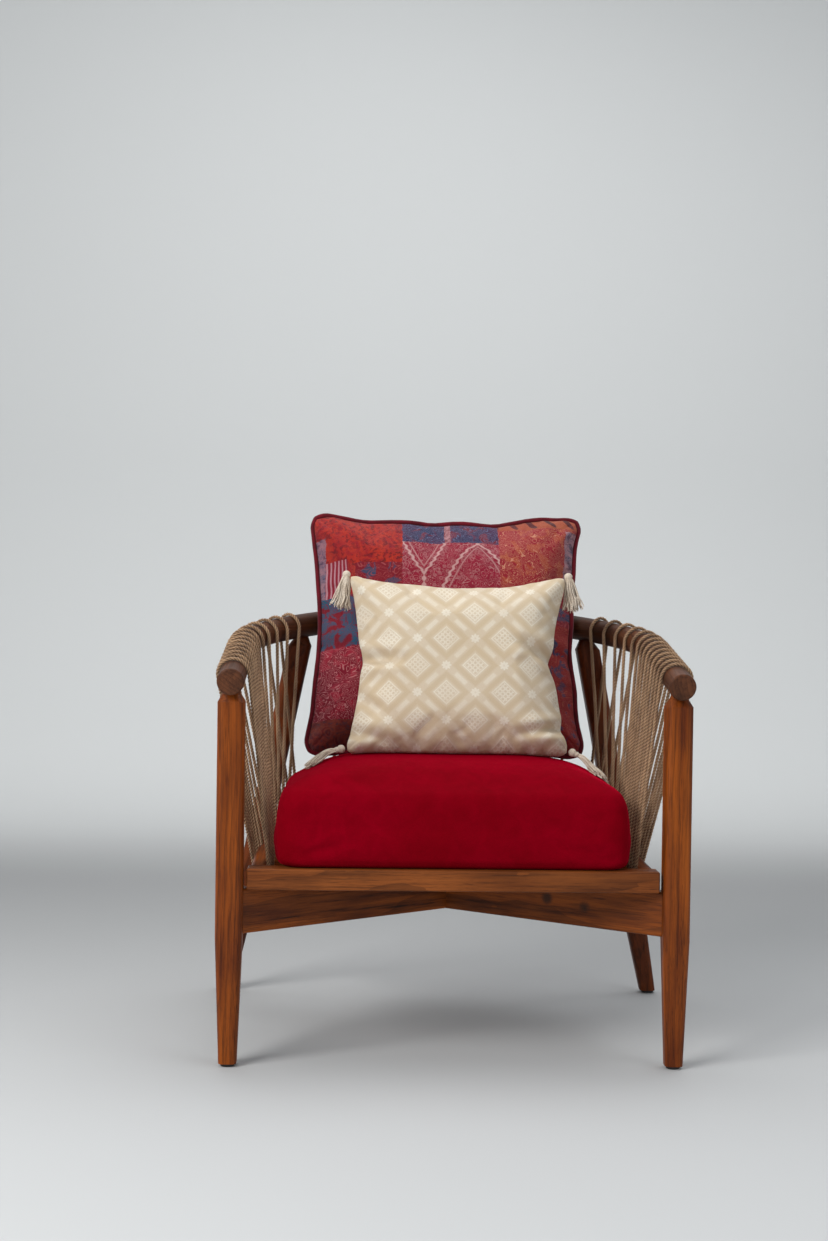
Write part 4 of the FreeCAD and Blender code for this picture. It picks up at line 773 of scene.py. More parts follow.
def hoop_station(side, station):
    inset = SIZES["hoop inset"]
    centre, outward = along_rail(
        side, station, hoop_straight, SIZES["rail corner radius"] - inset, back_radius - inset,
        hoop_centre, hoop_straight / rail_straight)
    return centre + Vector((0, -FRONT, SIZES["hoop middle"])), outward, Z_AXIS


def leaving_angle(centre, outward, normal, radius, target, way):
    """Angle round a circle at which a straight run to the target leaves it."""
    across = (target - centre).dot(outward)
    up = (target - centre).dot(normal)
    return math.atan2(up, across) + way * math.acos(radius / math.hypot(across, up))


cord_radius = SIZES["cord diameter"] / 2
rail_reach = SIZES["rail radius"] + SIZES["cord gap"] + cord_radius
hoop_reach = SIZES["hoop corner"] + SIZES["cord gap"] + cord_radius
hoop_bend = SIZES["hoop half side"] - SIZES["hoop corner"]


def rail_turn(side, station, before, after):
    centre, outward, normal = rail_station(side, station)
    first = leaving_angle(centre, outward, normal, rail_reach, before, -1) + 2 * math.pi
    last = leaving_angle(centre, outward, normal, rail_reach, after, 1)
    points = []
    for bend in range(RAIL_BENDS + 1):
        angle = first + (last - first) * bend / RAIL_BENDS
        points.append(centre + (outward * math.cos(angle) + normal * math.sin(angle)) * rail_reach)
    return points


def hoop_turn(side, station):
    """Under the seat frame, from its outer side to its inner top edge."""
    centre, outward, normal = hoop_station(side, station)
    points = []
    for x, z, start, end in ((hoop_bend, -hoop_bend, -8, -90), (-hoop_bend, -hoop_bend, -90, -180),
                             (-hoop_bend, hoop_bend, 180, 172)):
        for step in range(5 if z < 0 else 2):
            angle = math.radians(start + (end - start) * step / (4 if z < 0 else 1))
            offset = outward * (x + hoop_reach * math.cos(angle))
            points.append(centre + offset + normal * (z + hoop_reach * math.sin(angle)))
    return points


def spaced(start, end, count, first_pitch):
    """Stations whose pitch grows steadily from first_pitch."""
    steps = count - 1
    growth = (end - start - steps * first_pitch) * 2 / (steps * (steps - 1))
    return [start + i * first_pitch + growth * i * (i - 1) / 2 for i in range(count)]


def lace_chain(side, tops, feet, first, step):
    """One cord: up the inside, over the rail, down the outside, under the seat frame."""
    points = hoop_turn(side, feet[first])[5:]
    top = first
    while top < len(tops):
        under = hoop_turn(side, feet[top + step])
        points += rail_turn(side, tops[top], points[-1], under[0])
        top += step
        points += under if top < len(tops) else under[:6]
    return points


def end_tree(s, geometry, finish, result):
    """Ends a geometry tree: smooth faces, no instances, one finish."""
    smooth = s.add("GeometryNodeSetShadeSmooth", {"Geometry": geometry})
    real = s.add("GeometryNodeRealizeInstances", {"Geometry": smooth.outputs["Geometry"]})
    done = s.add("GeometryNodeSetMaterial", {
        "Geometry": real.outputs["Geometry"], "Material": finish})
    s.feed(result, done.outputs["Geometry"])


def build_cord_tree():
    """Geometry nodes: lays a three-strand cord along every path it is given."""
    tree, s, given, result = new_group("Three-strand cord", [
        ("Paths", "Geometry", None), ("Diameter", "Float", 0.0055),
        ("Twist length", "Float", 0.02), ("Ring spacing", "Float", 0.003), ("Strands", "Int", 3),
        ("Fibres", "Float", 26000.0), ("Fibre length", "Float", 0.006),
        ("Finish", "Material", None),
    ], [("Cords", "Geometry")], "GeometryNodeTree")
    laid = s.add("GeometryNodeResampleCurve", mode="LENGTH")
    s.feed(laid.inputs["Curve"], given["Paths"])
    s.feed(laid.inputs["Length"], given["Ring spacing"])
    length = s.add("GeometryNodeSplineParameter").outputs["Length"]
    turn = s.calc("MULTIPLY", s.calc("DIVIDE", length, given["Twist length"]), 2 * math.pi)
    tilted = s.add("GeometryNodeSetCurveTilt", {"Curve": laid.outputs["Curve"], "Tilt": turn})

    circle = s.add("GeometryNodeCurvePrimitiveCircle", {"Resolution": 12, "Radius": 1.0})
    share = s.add("GeometryNodeSplineParameter").outputs["Factor"]
    lobe = s.calc("COSINE", s.calc("MULTIPLY", s.calc("MULTIPLY", share, given["Strands"]),
                                   2 * math.pi))
    radius = s.between(lobe, -1.0, 1.0, 0.66, 1.0)
    reach = s.calc("MULTIPLY", s.calc("MULTIPLY", radius, given["Diameter"]), 0.5)
    spot = s.add("GeometryNodeInputPosition").outputs[0]
    profile = s.add("GeometryNodeSetPosition", {
        "Geometry": circle.outputs["Curve"], "Position": s.scaled(spot, reach)})
    # Each profile point stores how far it lies from a groove between strands; the cord's finish
    # paints shade in the grooves from this.
    marked = s.mark(profile.outputs["Geometry"], "groove_shade", s.between(lobe, -1.0, 1.0))
    swept = s.add("GeometryNodeCurveToMesh", {
        "Curve": tilted.outputs["Curve"], "Profile Curve": marked, "Fill Caps": True})

    roots = s.add("GeometryNodeDistributePointsOnFaces", {
        "Mesh": swept.outputs["Mesh"], "Density": given["Fibres"], "Seed": 4})
    spine = s.add("GeometryNodeMeshCone", {
        "Vertices": 3, "Side Segments": 2, "Radius Top": 0.00003, "Radius Bottom": 0.00017,
        "Depth": given["Fibre length"]})
    x, y, z = s.split(s.add("GeometryNodeInputPosition").outputs[0])
    rise = s.calc("DIVIDE", z, given["Fibre length"])
    bow = s.calc("MULTIPLY", s.calc("MULTIPLY", rise, rise), 0.0022)
    bowed = s.add("GeometryNodeSetPosition", {
        "Geometry": spine.outputs["Mesh"], "Position": s.join(s.calc("ADD", x, bow), y, z)})

    def random_way(low, high, seed):
        node = s.add("FunctionNodeRandomValue", {"Seed": seed}, data_type="FLOAT_VECTOR")
        s.feed(node.inputs[0], low)
        s.feed(node.inputs[1], high)
        return node.outputs[0]

    placed = s.add("GeometryNodeInstanceOnPoints", {
        "Points": roots.outputs["Points"], "Instance": bowed.outputs["Geometry"],
        "Rotation": roots.outputs["Rotation"], "Scale": random_way((0.5,) * 3, (1.0,) * 3, 8)})
    swung = s.add("GeometryNodeRotateInstances", {
        "Instances": placed.outputs[0],
        "Rotation": random_way((-1.2, -1.2, 0.0), (1.2, 1.2, 6.2), 9)})
    fibres = s.add("GeometryNodeRealizeInstances", {"Geometry": swung.outputs[0]})
    # Fibres are stored as clear of the grooves, so the finish paints no groove shade on them.
    pale = s.mark(fibres.outputs["Geometry"], "groove_shade", 1.0)
    joined = s.add("GeometryNodeJoinGeometry")
    tree.links.new(pale, joined.inputs[0])
    tree.links.new(swept.outputs["Mesh"], joined.inputs[0])
    end_tree(s, joined.outputs[0], given["Finish"], result["Cords"])
    return tree


def run_nodes(name, source, tree, values):
    """Runs a node tree on an object and keeps the result as a plain mesh."""
    modifier = source.modifiers.new("made", "NODES")
    modifier.node_group = tree
    for item in tree.interface.items_tree:
        if item.in_out == "INPUT" and item.name in values:
            modifier[item.identifier] = values[item.name]
    source.update_tag()
    bpy.context.view_layer.update()
    mesh = finished_mesh(source)
    bpy.data.objects.remove(source)
    mesh.name = name
    return add_object(name, mesh)


def paths_object(name, chains):
    curve = bpy.data.curves.new(name, "CURVE")
    curve.dimensions = "3D"
    curve.twist_mode = "MINIMUM"
    for points in chains:
        spline = curve.splines.new("POLY")
        spline.points.add(len(points) - 1)
        for point, where in zip(spline.points, points):
            point.co = (*where, 1.0)
    return add_object(name, curve)


CORD_TREE = build_cord_tree()


def settle_cord(chain, seed):
    """Long runs get a point every few centimetres, moved a little as hand-drawn cord is."""
    settled = [chain[0]]
    for a, b in zip(chain, chain[1:]):
        run = (b - a).length
        if run > 0.1:
            count = int(run / 0.04)
            for index in range(1, count):
                share = index / count
                spot = a.lerp(b, share)
                drift = noise.noise_vector(spot * 14 + Vector((seed, 0, 0))) * 0.0012
                settled.append(spot + drift * math.sin(share * math.pi))
        settled.append(b)
    return settled


def make_lacing(name, side, tops, feet, step):
    chains = [settle_cord(lace_chain(side, tops, feet, first, step), 3.7 * first)
              for first in range(step)]
    piece = run_nodes(name + "_cords", paths_object(name + "_paths", chains), CORD_TREE, {
        "Diameter": SIZES["cord diameter"], "Twist length": SIZES["twist length"],
        "Ring spacing": 0.003, "Strands": 3, "Finish": CORD,
    })
    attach(piece, "frame")
    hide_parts(name)


def back_stations(margin, count):
    """Even stations from one back leg round to the other, a margin clear of both."""
    leg_at = corner_end + back_radius * (SIZES["back leg angle"] - corner_turn)
    middle = corner_end + back_radius * (math.pi / 2 - corner_turn)
    start, end = leg_at + margin, 2 * middle - leg_at - margin
    return spaced(start, end, count, (end - start) / (count - 1))


side_tops = spaced(SIZES["side lace start"], SIZES["side lace end"], SIDE_TURNS,
                   SIZES["side lace pitch"])
side_feet = spaced(SIZES["side foot start"], SIZES["side foot end"], SIDE_TURNS + SIDE_STEP,
                   SIZES["side foot pitch"])
for name, side in (("lacing_left", -1), ("lacing_right", 1)):
    make_lacing(name, side, side_tops, side_feet, SIDE_STEP)
make_lacing("lacing_back", -1, back_stations(SIZES["back lace margin"], BACK_TURNS),
            back_stations(SIZES["back foot margin"], BACK_TURNS + BACK_STEP), BACK_STEP)


# Cushions.

def tree_of(item):
    """Search tree of a mesh object's own vertices and faces."""
    mesh = item.data
    return BVHTree.FromPolygons([v.co.copy() for v in mesh.vertices],
                                [tuple(p.vertices) for p in mesh.polygons])


def keep_clear(piece, others, gap):
    """Moves vertices out of the neighbours, to a gap from their surface."""
    for other in others:
        tree = tree_of(other)
        for vertex in piece.data.vertices:
            spot, normal, _, distance = tree.find_nearest(vertex.co, 0.03)
            if spot is None:
                continue
            height = (vertex.co - spot).dot(normal)
            if height < 0 or distance < gap:
                vertex.co = spot + normal * gap


def simulate(piece, pressure, cap, pinned, shrink):
    """Inflates a closed cloth, holds the pinned points and caps how far the rest may move."""
    group = piece.vertex_groups.new(name="pinned")
    group.add(pinned, 1.0, "REPLACE")
    start = [v.co.copy() for v in piece.data.vertices]
    cloth = piece.modifiers.new("Cloth", "CLOTH")
    settings = cloth.settings
    settings.quality = 6
    settings.mass = 0.3
    settings.use_pressure = True
    settings.uniform_pressure_force = pressure
    settings.shrink_min = shrink
    settings.tension_stiffness = 12
    settings.compression_stiffness = 12
    settings.shear_stiffness = 4
    settings.bending_stiffness = 0.4
    settings.vertex_group_mass = "pinned"
    settings.effector_weights.gravity = 0.0
    cloth.collision_settings.use_collision = False
    cloth.point_cache.frame_start = 1
    cloth.point_cache.frame_end = CLOTH_FRAMES
    scene = bpy.context.scene
    for step in range(1, CLOTH_FRAMES + 1):
        scene.frame_set(step)
    evaluated = piece.evaluated_get(bpy.context.evaluated_depsgraph_get())
    moved = [v.co.copy() for v in evaluated.data.vertices]
    piece.modifiers.remove(cloth)
    for vertex, old, new in zip(piece.data.vertices, start, moved):
        way = new - old
        vertex.co = old + (way * (cap / way.length) if way.length > cap else way)
    scene.frame_set(1)
    piece.vertex_groups.remove(group)


def finish_soft(piece, finish, node):
    """One subdivision, smooth shading, and the node that the cushion stands for."""
    divided = piece.modifiers.new("Smooth", "SUBSURF")
    divided.levels = divided.render_levels = 1
    piece.data = finished_mesh(piece)
    piece.modifiers.remove(divided)
    for face in piece.data.polygons:
        face.use_smooth = True
    piece.data.materials.clear()
    piece.data.materials.append(finish)
    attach(piece, node)
    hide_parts(node)
    return piece


def relax(piece, rounds, share, free):
    """Evens out a mesh by moving each point, as far as it is free, to its neighbours' middle."""
    mesh = piece.data
    joined = [[] for _ in mesh.vertices]
    for edge in mesh.edges:
        a, b = edge.vertices
        joined[a].append(b)
        joined[b].append(a)
    spots = [v.co.copy() for v in mesh.vertices]
    for _ in range(rounds):
        fresh = []
        for index, near in enumerate(joined):
            middle = sum((spots[n] for n in near), Vector()) / len(near)
            fresh.append(spots[index].lerp(middle, share * free[index]))
        spots = fresh
    for vertex, spot in zip(mesh.vertices, spots):
        vertex.co = spot


def make_seat():
    """The box cushion, from its CAD solid: remeshed, inflated and creased a little."""
    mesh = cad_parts["seat_cushion"].data.copy()
    piece = add_object("seat_cushion_cover", mesh)
    work = bmesh.new()
    work.from_mesh(mesh)
    bmesh.ops.remove_doubles(work, verts=work.verts, dist=1e-5)
    work.to_mesh(mesh)
    work.free()
    remesh = piece.modifiers.new("Remesh", "REMESH")
    remesh.mode = "VOXEL"
    remesh.voxel_size = 0.006
    piece.data = finished_mesh(piece)
    piece.modifiers.clear()
    low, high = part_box("seat_cushion")
    free = [min(1.0, max(0.0, (v.co.z - low.z - 0.001) / 0.02)) for v in piece.data.vertices]
    relax(piece, 6, 0.5, free)
    pinned = [v.index for v in piece.data.vertices if v.co.z < low.z + 0.012]
    simulate(piece, pressure=4.0, cap=0.0028, pinned=pinned, shrink=0.004)
    for vertex in piece.data.vertices:
        spot = vertex.co
        height = (spot.z - low.z) / (high.z - low.z)
        soft = max(0.0, min(1.0, height * 3.0))
        wave = noise.noise(Vector((spot.x * 7, spot.y * 9, spot.z * 12)))
        vertex.co += vertex.normal * (wave * 0.0022 * soft)
        vertex.co.z = max(vertex.co.z, low.z)
    lacing = [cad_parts["lacing_" + name] for name in ("left", "right", "back")]
    keep_clear(piece, lacing, SIZES["lacing clearance"])
    return finish_soft(piece, VELVET, "seat_cushion")


# A pillow's depth, as a share of the full one, at shares of its half height in from the seam.
PILLOW_SHARES = ((0.0, 0.045), (0.03, 0.2), (0.09, 0.4), (0.18, 0.6), (0.31, 0.79),
                 (0.47, 0.93), (0.64, 1.0))


def pillow_depth(share):
    for (near, low), (far, high) in zip(PILLOW_SHARES, PILLOW_SHARES[1:]):
        if share <= far:
            return low + (high - low) * (share - near) / (far - near)
    return 1.0


class Pillow:
    """A pillow's outline on its seam's plane, its depths in front and rear, and its placement.

    The outline waves a little, and each pinch draws in a side: which, where, how far and wide.
    """

    def __init__(self, half_x, half_z, draw, base_draw, corner, front, rear, wave, pinches,
                 stand):
        self.half_x, self.half_z, self.corner = half_x, half_z, corner
        self.draw, self.base_draw = draw, base_draw
        self.front, self.rear = front, rear
        self.wave, self.pinches, self.stand = wave, pinches, stand

    def seam_spot(self, s, t):
        """Place on the seam's plane for s and t from -1 to 1."""
        x, z = s * self.half_x, t * self.half_z
        over_x = abs(x) - (self.half_x - self.corner)
        over_z = abs(z) - (self.half_z - self.corner)
        if over_x > 0 and over_z > 0:
            pull = 1 - max(over_x, over_z) / math.hypot(over_x, over_z)
            x -= math.copysign(over_x * pull, x)
            z -= math.copysign(over_z * pull, z)
        draw = self.draw if t > 0 else self.base_draw
        x -= s ** 3 * self.draw * (1 - t * t)
        z -= t ** 3 * draw * (1 - s * s)
        for side, at, depth, width in self.pinches:
            x -= side * depth * max(0.0, s * side) ** 4 * math.exp(-((t - at) / width) ** 2)
        sway = noise.noise_vector(Vector((x * 13, 4.2, z * 13))) * self.wave
        sway *= max(abs(s), abs(t)) ** 8
        return Vector((x + sway.x, 0, z + (sway.z if t > 0 else 0.0)))

    def spot(self, s, t, front):
        place = self.seam_spot(s, t)
        across = (1 - abs(s)) * self.half_x / self.half_z
        up = (1 - abs(t)) * (1.0 if t > 0 or self.base_draw else 1.0 - 0.8 * t)
        near = 1 / ((across + 1e-4) ** -2.6 + (up + 1e-4) ** -2.6) ** (1 / 2.6)
        depth = pillow_depth(near) * (self.front if front else self.rear)
        place.y = -depth if front else depth
        return place


def pillow_mesh(name, pillow, columns, rows):
    """Two sheets on a grid, joined along the seam, with a UV map in metres."""
    verts, faces, grid = [], [], {}
    for front in (True, False):
        for j in range(rows + 1):
            for i in range(columns + 1):
                rim = i in (0, columns) or j in (0, rows)
                if rim and not front:
                    grid[front, i, j] = grid[True, i, j]
                    continue
                s, t = 2 * i / columns - 1, 2 * j / rows - 1
                s, t = math.sin(s * 1.2) / math.sin(1.2), math.sin(t * 1.2) / math.sin(1.2)
                place = pillow.spot(s, t, front)
                if rim:
                    place.y = 0
                grid[front, i, j] = len(verts)
                verts.append(place)
    for front in (True, False):
        for j in range(rows):
            for i in range(columns):
                loop = [grid[front, i, j], grid[front, i + 1, j], grid[front, i + 1, j + 1],
                        grid[front, i, j + 1]]
                faces.append(loop if front else loop[::-1])
    mesh = bpy.data.meshes.new(name)
    mesh.from_pydata(verts, [], faces)
    uv = mesh.uv_layers.new(name="cloth")
    for loop in mesh.loops:
        place = verts[loop.vertex_index]
        uv.data[loop.index].uv = (place.x, place.z)
    rim = sorted({grid[True, i, j] for i in range(columns + 1) for j in range(rows + 1)
                  if i in (0, columns) or j in (0, rows)})
    return add_object(name, mesh), rim


def pucker(piece, pillow, depth, pitch, reach):
    """Small gathers square to the seam, fading away from it."""
    mesh = piece.data
    moves = []
    for vertex in mesh.vertices:
        x, y, z = vertex.co
        to_side = pillow.half_x - abs(x)
        to_end = pillow.half_z - abs(z)
        near = min(to_side, to_end)
        run = z if to_side < to_end else x
        sway = noise.noise(Vector((x * 22, z * 22, 3.1))) * 2.4
        wave = math.sin(run * 2 * math.pi / pitch + sway)
        strength = 0.4 + 0.6 * abs(noise.noise(Vector((x * 11, z * 11, 8.7))))
        fade = math.exp(-max(0.0, near) / reach) * min(1.0, abs(y) / 0.006)
        moves.append(vertex.normal * (wave * depth * strength * fade))
    for vertex, move in zip(mesh.vertices, moves):
        vertex.co += move


def crease(piece, start, end, depth, width):
    """Pinches a fold into a pillow's front, from start to end on its seam's plane."""
    start, end = Vector((start[0], 0, start[1])), Vector((end[0], 0, end[1]))
    way = end - start
    length = way.length
    way.normalize()
    square = Vector((-way.z, 0, way.x))
    for vertex in piece.data.vertices:
        if vertex.co.y > 0.002:
            continue
        flat = Vector((vertex.co.x, 0, vertex.co.z)) - start
        run, off = flat.dot(way) / length, flat.dot(square)
        if not -0.15 < run < 1.15:
            continue
        taper = max(0.0, min(1.0, (1.15 - run) / 0.7)) * min(1.0, (run + 0.15) / 0.2)
        dip = math.exp(-(off / width) ** 2)
        swell = math.exp(-((off - 2.1 * width) / (1.4 * width)) ** 2)
        swell += math.exp(-((off + 2.1 * width) / (1.4 * width)) ** 2)
        vertex.co.y += taper * depth * (dip - 0.6 * swell)


PILLOW_LEAN = math.radians(16.0)


def leaning(x, y, z):
    """Placement of a pillow's middle; the pillow leans back."""
    return Matrix.Translation((x, y, z)) @ Matrix.Rotation(-PILLOW_LEAN, 4, "X")


BACK = Pillow(
    half_x=0.241, half_z=0.220, draw=0.018, base_draw=0.016, corner=0.030, front=0.068,
    rear=0.044, wave=0.007, pinches=((-1, 0.0, 0.004, 0.16), (1, -0.2, 0.004, 0.2)),
    stand=leaning(0.0, 0.39522 - FRONT, 0.66118))
SMALL = Pillow(
    half_x=0.190, half_z=0.158, draw=0.024, base_draw=0.0, corner=0.022, front=0.056,
    rear=0.046, wave=0.004,
    pinches=((-1, 0.02, 0.006, 0.13), (1, -0.02, 0.012, 0.16), (1, -0.72, 0.005, 0.1)),
    stand=leaning(0.016, 0.25972 - FRONT, 0.61418))
# Each fold: where it starts and ends on the seam's plane, its depth and its width.
BACK_CREASES = (((-0.235, -0.02), (-0.13, -0.05), 0.007, 0.010),
                ((0.235, -0.06), (0.15, -0.02), 0.006, 0.010),
                ((-0.225, 0.212), (-0.16, 0.14), 0.006, 0.012),
                ((0.225, 0.208), (0.17, 0.15), 0.005, 0.010))
SMALL_CREASES = (((-0.176, 0.004), (-0.095, -0.008), 0.014, 0.008),
                 ((0.176, -0.002), (0.095, 0.030), 0.015, 0.009),
                 ((0.186, -0.112), (0.09, -0.128), 0.011, 0.007),
                 ((-0.188, -0.12), (-0.10, -0.146), 0.008, 0.008),
                 ((-0.172, -0.06), (-0.12, -0.10), 0.005, 0.008))


def make_back_pillow(seat):
    piece, rim = pillow_mesh("back_cushion_cover", BACK, 84, 78)
    simulate(piece, pressure=3.0, cap=0.006, pinned=rim, shrink=-0.012)
    pucker(piece, BACK, depth=0.0030, pitch=0.034, reach=0.028)
    for fold in BACK_CREASES:
        crease(piece, *fold)
    piece.data.transform(BACK.stand)
    keep_clear(piece, [seat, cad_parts["rail_back"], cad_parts["lacing_back"]],
               SIZES["cushion clearance"])
    return finish_soft(piece, PATCHWORK, "back_cushion")


def seam_loop(pillow, count, outset):
    """Points round a pillow's seam, moved outwards."""
    spots = []
    for side in range(4):
        for index in range(count):
            share = math.sin((index / count - 0.5) * math.pi)
            s, t = ((share, -1), (1, share), (-share, 1), (-1, -share))[side]
            spots.append(pillow.seam_spot(s, t))
    outer = []
    for index, spot in enumerate(spots):
        before, after = spots[index - 3], spots[(index + 3) % len(spots)]
        way = (after - before).normalized()
        outer.append(spot + Vector((way.z, 0, -way.x)) * outset)
    return outer


def build_piping_tree():
    """Geometry nodes: a round cord or thread along every path it is given."""
    tree, s, given, result = new_group("Covered piping", [
        ("Paths", "Geometry", None), ("Radius", "Float", 0.004), ("Finish", "Material", None),
    ], [("Piping", "Geometry")], "GeometryNodeTree")
    circle = s.add("GeometryNodeCurvePrimitiveCircle", {
        "Resolution": 12, "Radius": given["Radius"]})
    swept = s.add("GeometryNodeCurveToMesh", {
        "Curve": given["Paths"], "Profile Curve": circle.outputs["Curve"],
        "Fill Caps": True})
    end_tree(s, swept.outputs["Mesh"], given["Finish"], result["Piping"])
    return tree


ROUND_TREE = build_piping_tree()


def make_piping():
    spots = [BACK.stand @ (spot + noise.noise_vector(spot * 40) * 0.0006)
             for spot in seam_loop(BACK, 44, SIZES["piping outset"])]
    holder = paths_object("piping_path", [spots])
    holder.data.splines[0].use_cyclic_u = True
    piece = run_nodes("back_cushion_cord", holder, ROUND_TREE, {
        "Radius": SIZES["piping radius"], "Finish": PIPING})
    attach(piece, "back_cushion")
    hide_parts("back_cushion_piping")


def make_small_pillow(seat, back):
    piece, rim = pillow_mesh("small_cushion_cover", SMALL, 78, 66)
    simulate(piece, pressure=3.0, cap=0.006, pinned=rim, shrink=-0.010)
    pucker(piece, SMALL, depth=0.0016, pitch=0.030, reach=0.020)
    for fold in SMALL_CREASES:
        crease(piece, *fold)
    piece.data.transform(SMALL.stand)
    keep_clear(piece, [seat, back], SIZES["cushion clearance"])
    return finish_soft(piece, LATTICE, "small_cushion")


seat = make_seat()
back = make_back_pillow(seat)
make_piping()
small = make_small_pillow(seat, back)


# Tassels.

def build_tassel_tree():
    """Geometry nodes: threads that hang and spread from the neck, joined to a wound head."""
    tree, s, given, result = new_group("Thread tassel", [
        ("Head", "Geometry", None), ("Threads", "Int", 70), ("Thread radius", "Float", 0.0009),
        ("Neck radius", "Float", 0.0042), ("Skirt radius", "Float", 0.013),
        ("Length", "Float", 0.045), ("Seed", "Int", 1), ("Finish", "Material", None),
    ], [("Tassel", "Geometry")], "GeometryNodeTree")

    def scatter(low, high, seed_step):
        node = s.add("FunctionNodeRandomValue", data_type="FLOAT")
        s.feed(node.inputs[2], low)
        s.feed(node.inputs[3], high)
        s.feed(node.inputs["Seed"], s.calc("ADD", given["Seed"], seed_step))
        return node.outputs[1]

    roots = s.add("GeometryNodePoints", {"Count": given["Threads"]})
    angle = scatter(0.0, 2 * math.pi, 11.0)
    spread = s.calc("SQRT", scatter(0.02, 1.0, 23.0))
    length = scatter(0.9, 1.03, 37.0)
    marks = roots.outputs[0]
    for label, item in (("angle", angle), ("spread", spread), ("length", length)):
        marks = s.mark(marks, label, item)
    thread = s.add("GeometryNodeCurvePrimitiveLine", {"Start": (0, 0, 0), "End": (0, 0, -1)})
    bends = s.add("GeometryNodeResampleCurve", {"Count": 9}, mode="COUNT")
    s.feed(bends.inputs["Curve"], thread.outputs["Curve"])
    placed = s.add("GeometryNodeInstanceOnPoints", {
        "Points": marks, "Instance": bends.outputs["Curve"]})
    real = s.add("GeometryNodeRealizeInstances", {"Geometry": placed.outputs[0]})

    def named(label):
        node = s.add("GeometryNodeInputNamedAttribute", {"Name": label}, data_type="FLOAT")
        return node.outputs["Attribute"]

    share = s.add("GeometryNodeSplineParameter").outputs["Factor"]
    flare = s.calc("ADD", s.calc("MULTIPLY", given["Neck radius"], s.calc("SUBTRACT", 1.0, share)),
                   s.calc("MULTIPLY", given["Skirt radius"], s.calc("POWER", share, 0.75)))
    radius = s.calc("MULTIPLY", flare, named("spread"))
    level = s.calc("MULTIPLY", s.calc("MULTIPLY", share, named("length")),
                   s.calc("MULTIPLY", given["Length"], -1.0))
    x = s.calc("MULTIPLY", radius, s.calc("COSINE", named("angle")))
    y = s.calc("MULTIPLY", radius, s.calc("SINE", named("angle")))
    spot = s.join(x, y, level)
    wander = s.noise(s.vector("MULTIPLY", spot, (1.0, 1.0, 0.4)), 90.0, 1.0, output="Color")
    pull = s.scaled(s.vector("SUBTRACT", wander, (0.5,) * 3), s.calc("MULTIPLY", share, 0.022))
    bent = s.add("GeometryNodeSetPosition", {
        "Geometry": real.outputs["Geometry"], "Position": s.vector("ADD", spot, pull)})
    circle = s.add("GeometryNodeCurvePrimitiveCircle", {
        "Resolution": 5, "Radius": given["Thread radius"]})
    swept = s.add("GeometryNodeCurveToMesh", {
        "Curve": bent.outputs["Geometry"], "Profile Curve": circle.outputs["Curve"],
        "Fill Caps": True})
    joined = s.add("GeometryNodeJoinGeometry")
    tree.links.new(swept.outputs["Mesh"], joined.inputs[0])
    tree.links.new(given["Head"], joined.inputs[0])
    end_tree(s, joined.outputs[0], given["Finish"], result["Tassel"])
    return tree


TASSEL_TREE = build_tassel_tree()


def wound_head():
    """A knotted head with its neck below it, wound with a few turns of yarn."""
    radius, neck = SIZES["tassel head"], SIZES["tassel neck"]
    rings, around = 13, 18
    work = bmesh.new()
    profile = []
    for step in range(rings):
        share = step / (rings - 1)
        if share < 0.7:
            angle = share / 0.7 * math.pi * 0.82
            r, z = radius * math.sin(angle), radius * math.cos(angle)
        else:
            turn = (share - 0.7) / 0.3
            r = neck * (1.0 + 0.16 * abs(math.sin(turn * math.pi * 3)))
            z = -radius * 0.84 - turn * radius * 0.62
        profile.append((max(r, 0.0004), z))
    loops = []
    for row, (r, z) in enumerate(profile):
        loop = []
        for index in range(around):
            angle = 2 * math.pi * index / around
            twist = 1 + 0.07 * math.sin(index * 2 * math.pi * 6 / around + row * 0.8)
            reach = r * twist
            loop.append(work.verts.new((reach * math.cos(angle), reach * math.sin(angle), z)))
        loops.append(loop)
    for upper, lower in zip(loops, loops[1:]):
        for index in range(around):
            after = (index + 1) % around
            work.faces.new((upper[index], lower[index], lower[after], upper[after]))
    work.faces.new(loops[0])
    work.faces.new(loops[-1][::-1])
    mesh = bpy.data.meshes.new("head")
    work.to_mesh(mesh)
    work.free()
    return mesh


def lay_strands(knot, down, seed):
    """Paths of a lying tassel's threads: they fan out from the neck over the seat cushion."""
    tree, draw = tree_of(seat), random.Random(seed)
    ahead = Vector((down.x, down.y, 0)).normalized()
    neck = knot + down * 0.009
    paths = []
    for index in range(LYING_THREADS):
        turn, length = draw.uniform(-0.42, 0.42), draw.uniform(0.040, 0.052)
        layer, bend = draw.uniform(0.0006, 0.0170), draw.uniform(-0.30, 0.30)
        start = neck + Vector([draw.uniform(-1, 1) for _ in range(3)]) * 0.0022
        path = []
        for step in range(THREAD_STEPS + 1):
            share = step / THREAD_STEPS
            way = Matrix.Rotation(turn + bend * share * share, 3, "Z") @ ahead
            spot = start + way * (length * share) + down * 0.0001
            wander = noise.noise_vector(spot * 130 + Vector((index, 0, 0)))
            spot += Vector((wander.x, wander.y, 0)) * 0.0016 * share
            hit = tree.ray_cast(spot + Z_AXIS * 0.15, -Z_AXIS, 0.4)[0]
            if hit is not None:
                rest = hit.z + 0.0010 + layer * (1 - 0.5 * share ** 2)
                spot.z += (rest - spot.z) * min(1.0, share * 1.8)
                spot.z = max(spot.z, hit.z + 0.0010)
            path.append(spot)
        paths.append(path)
    return paths


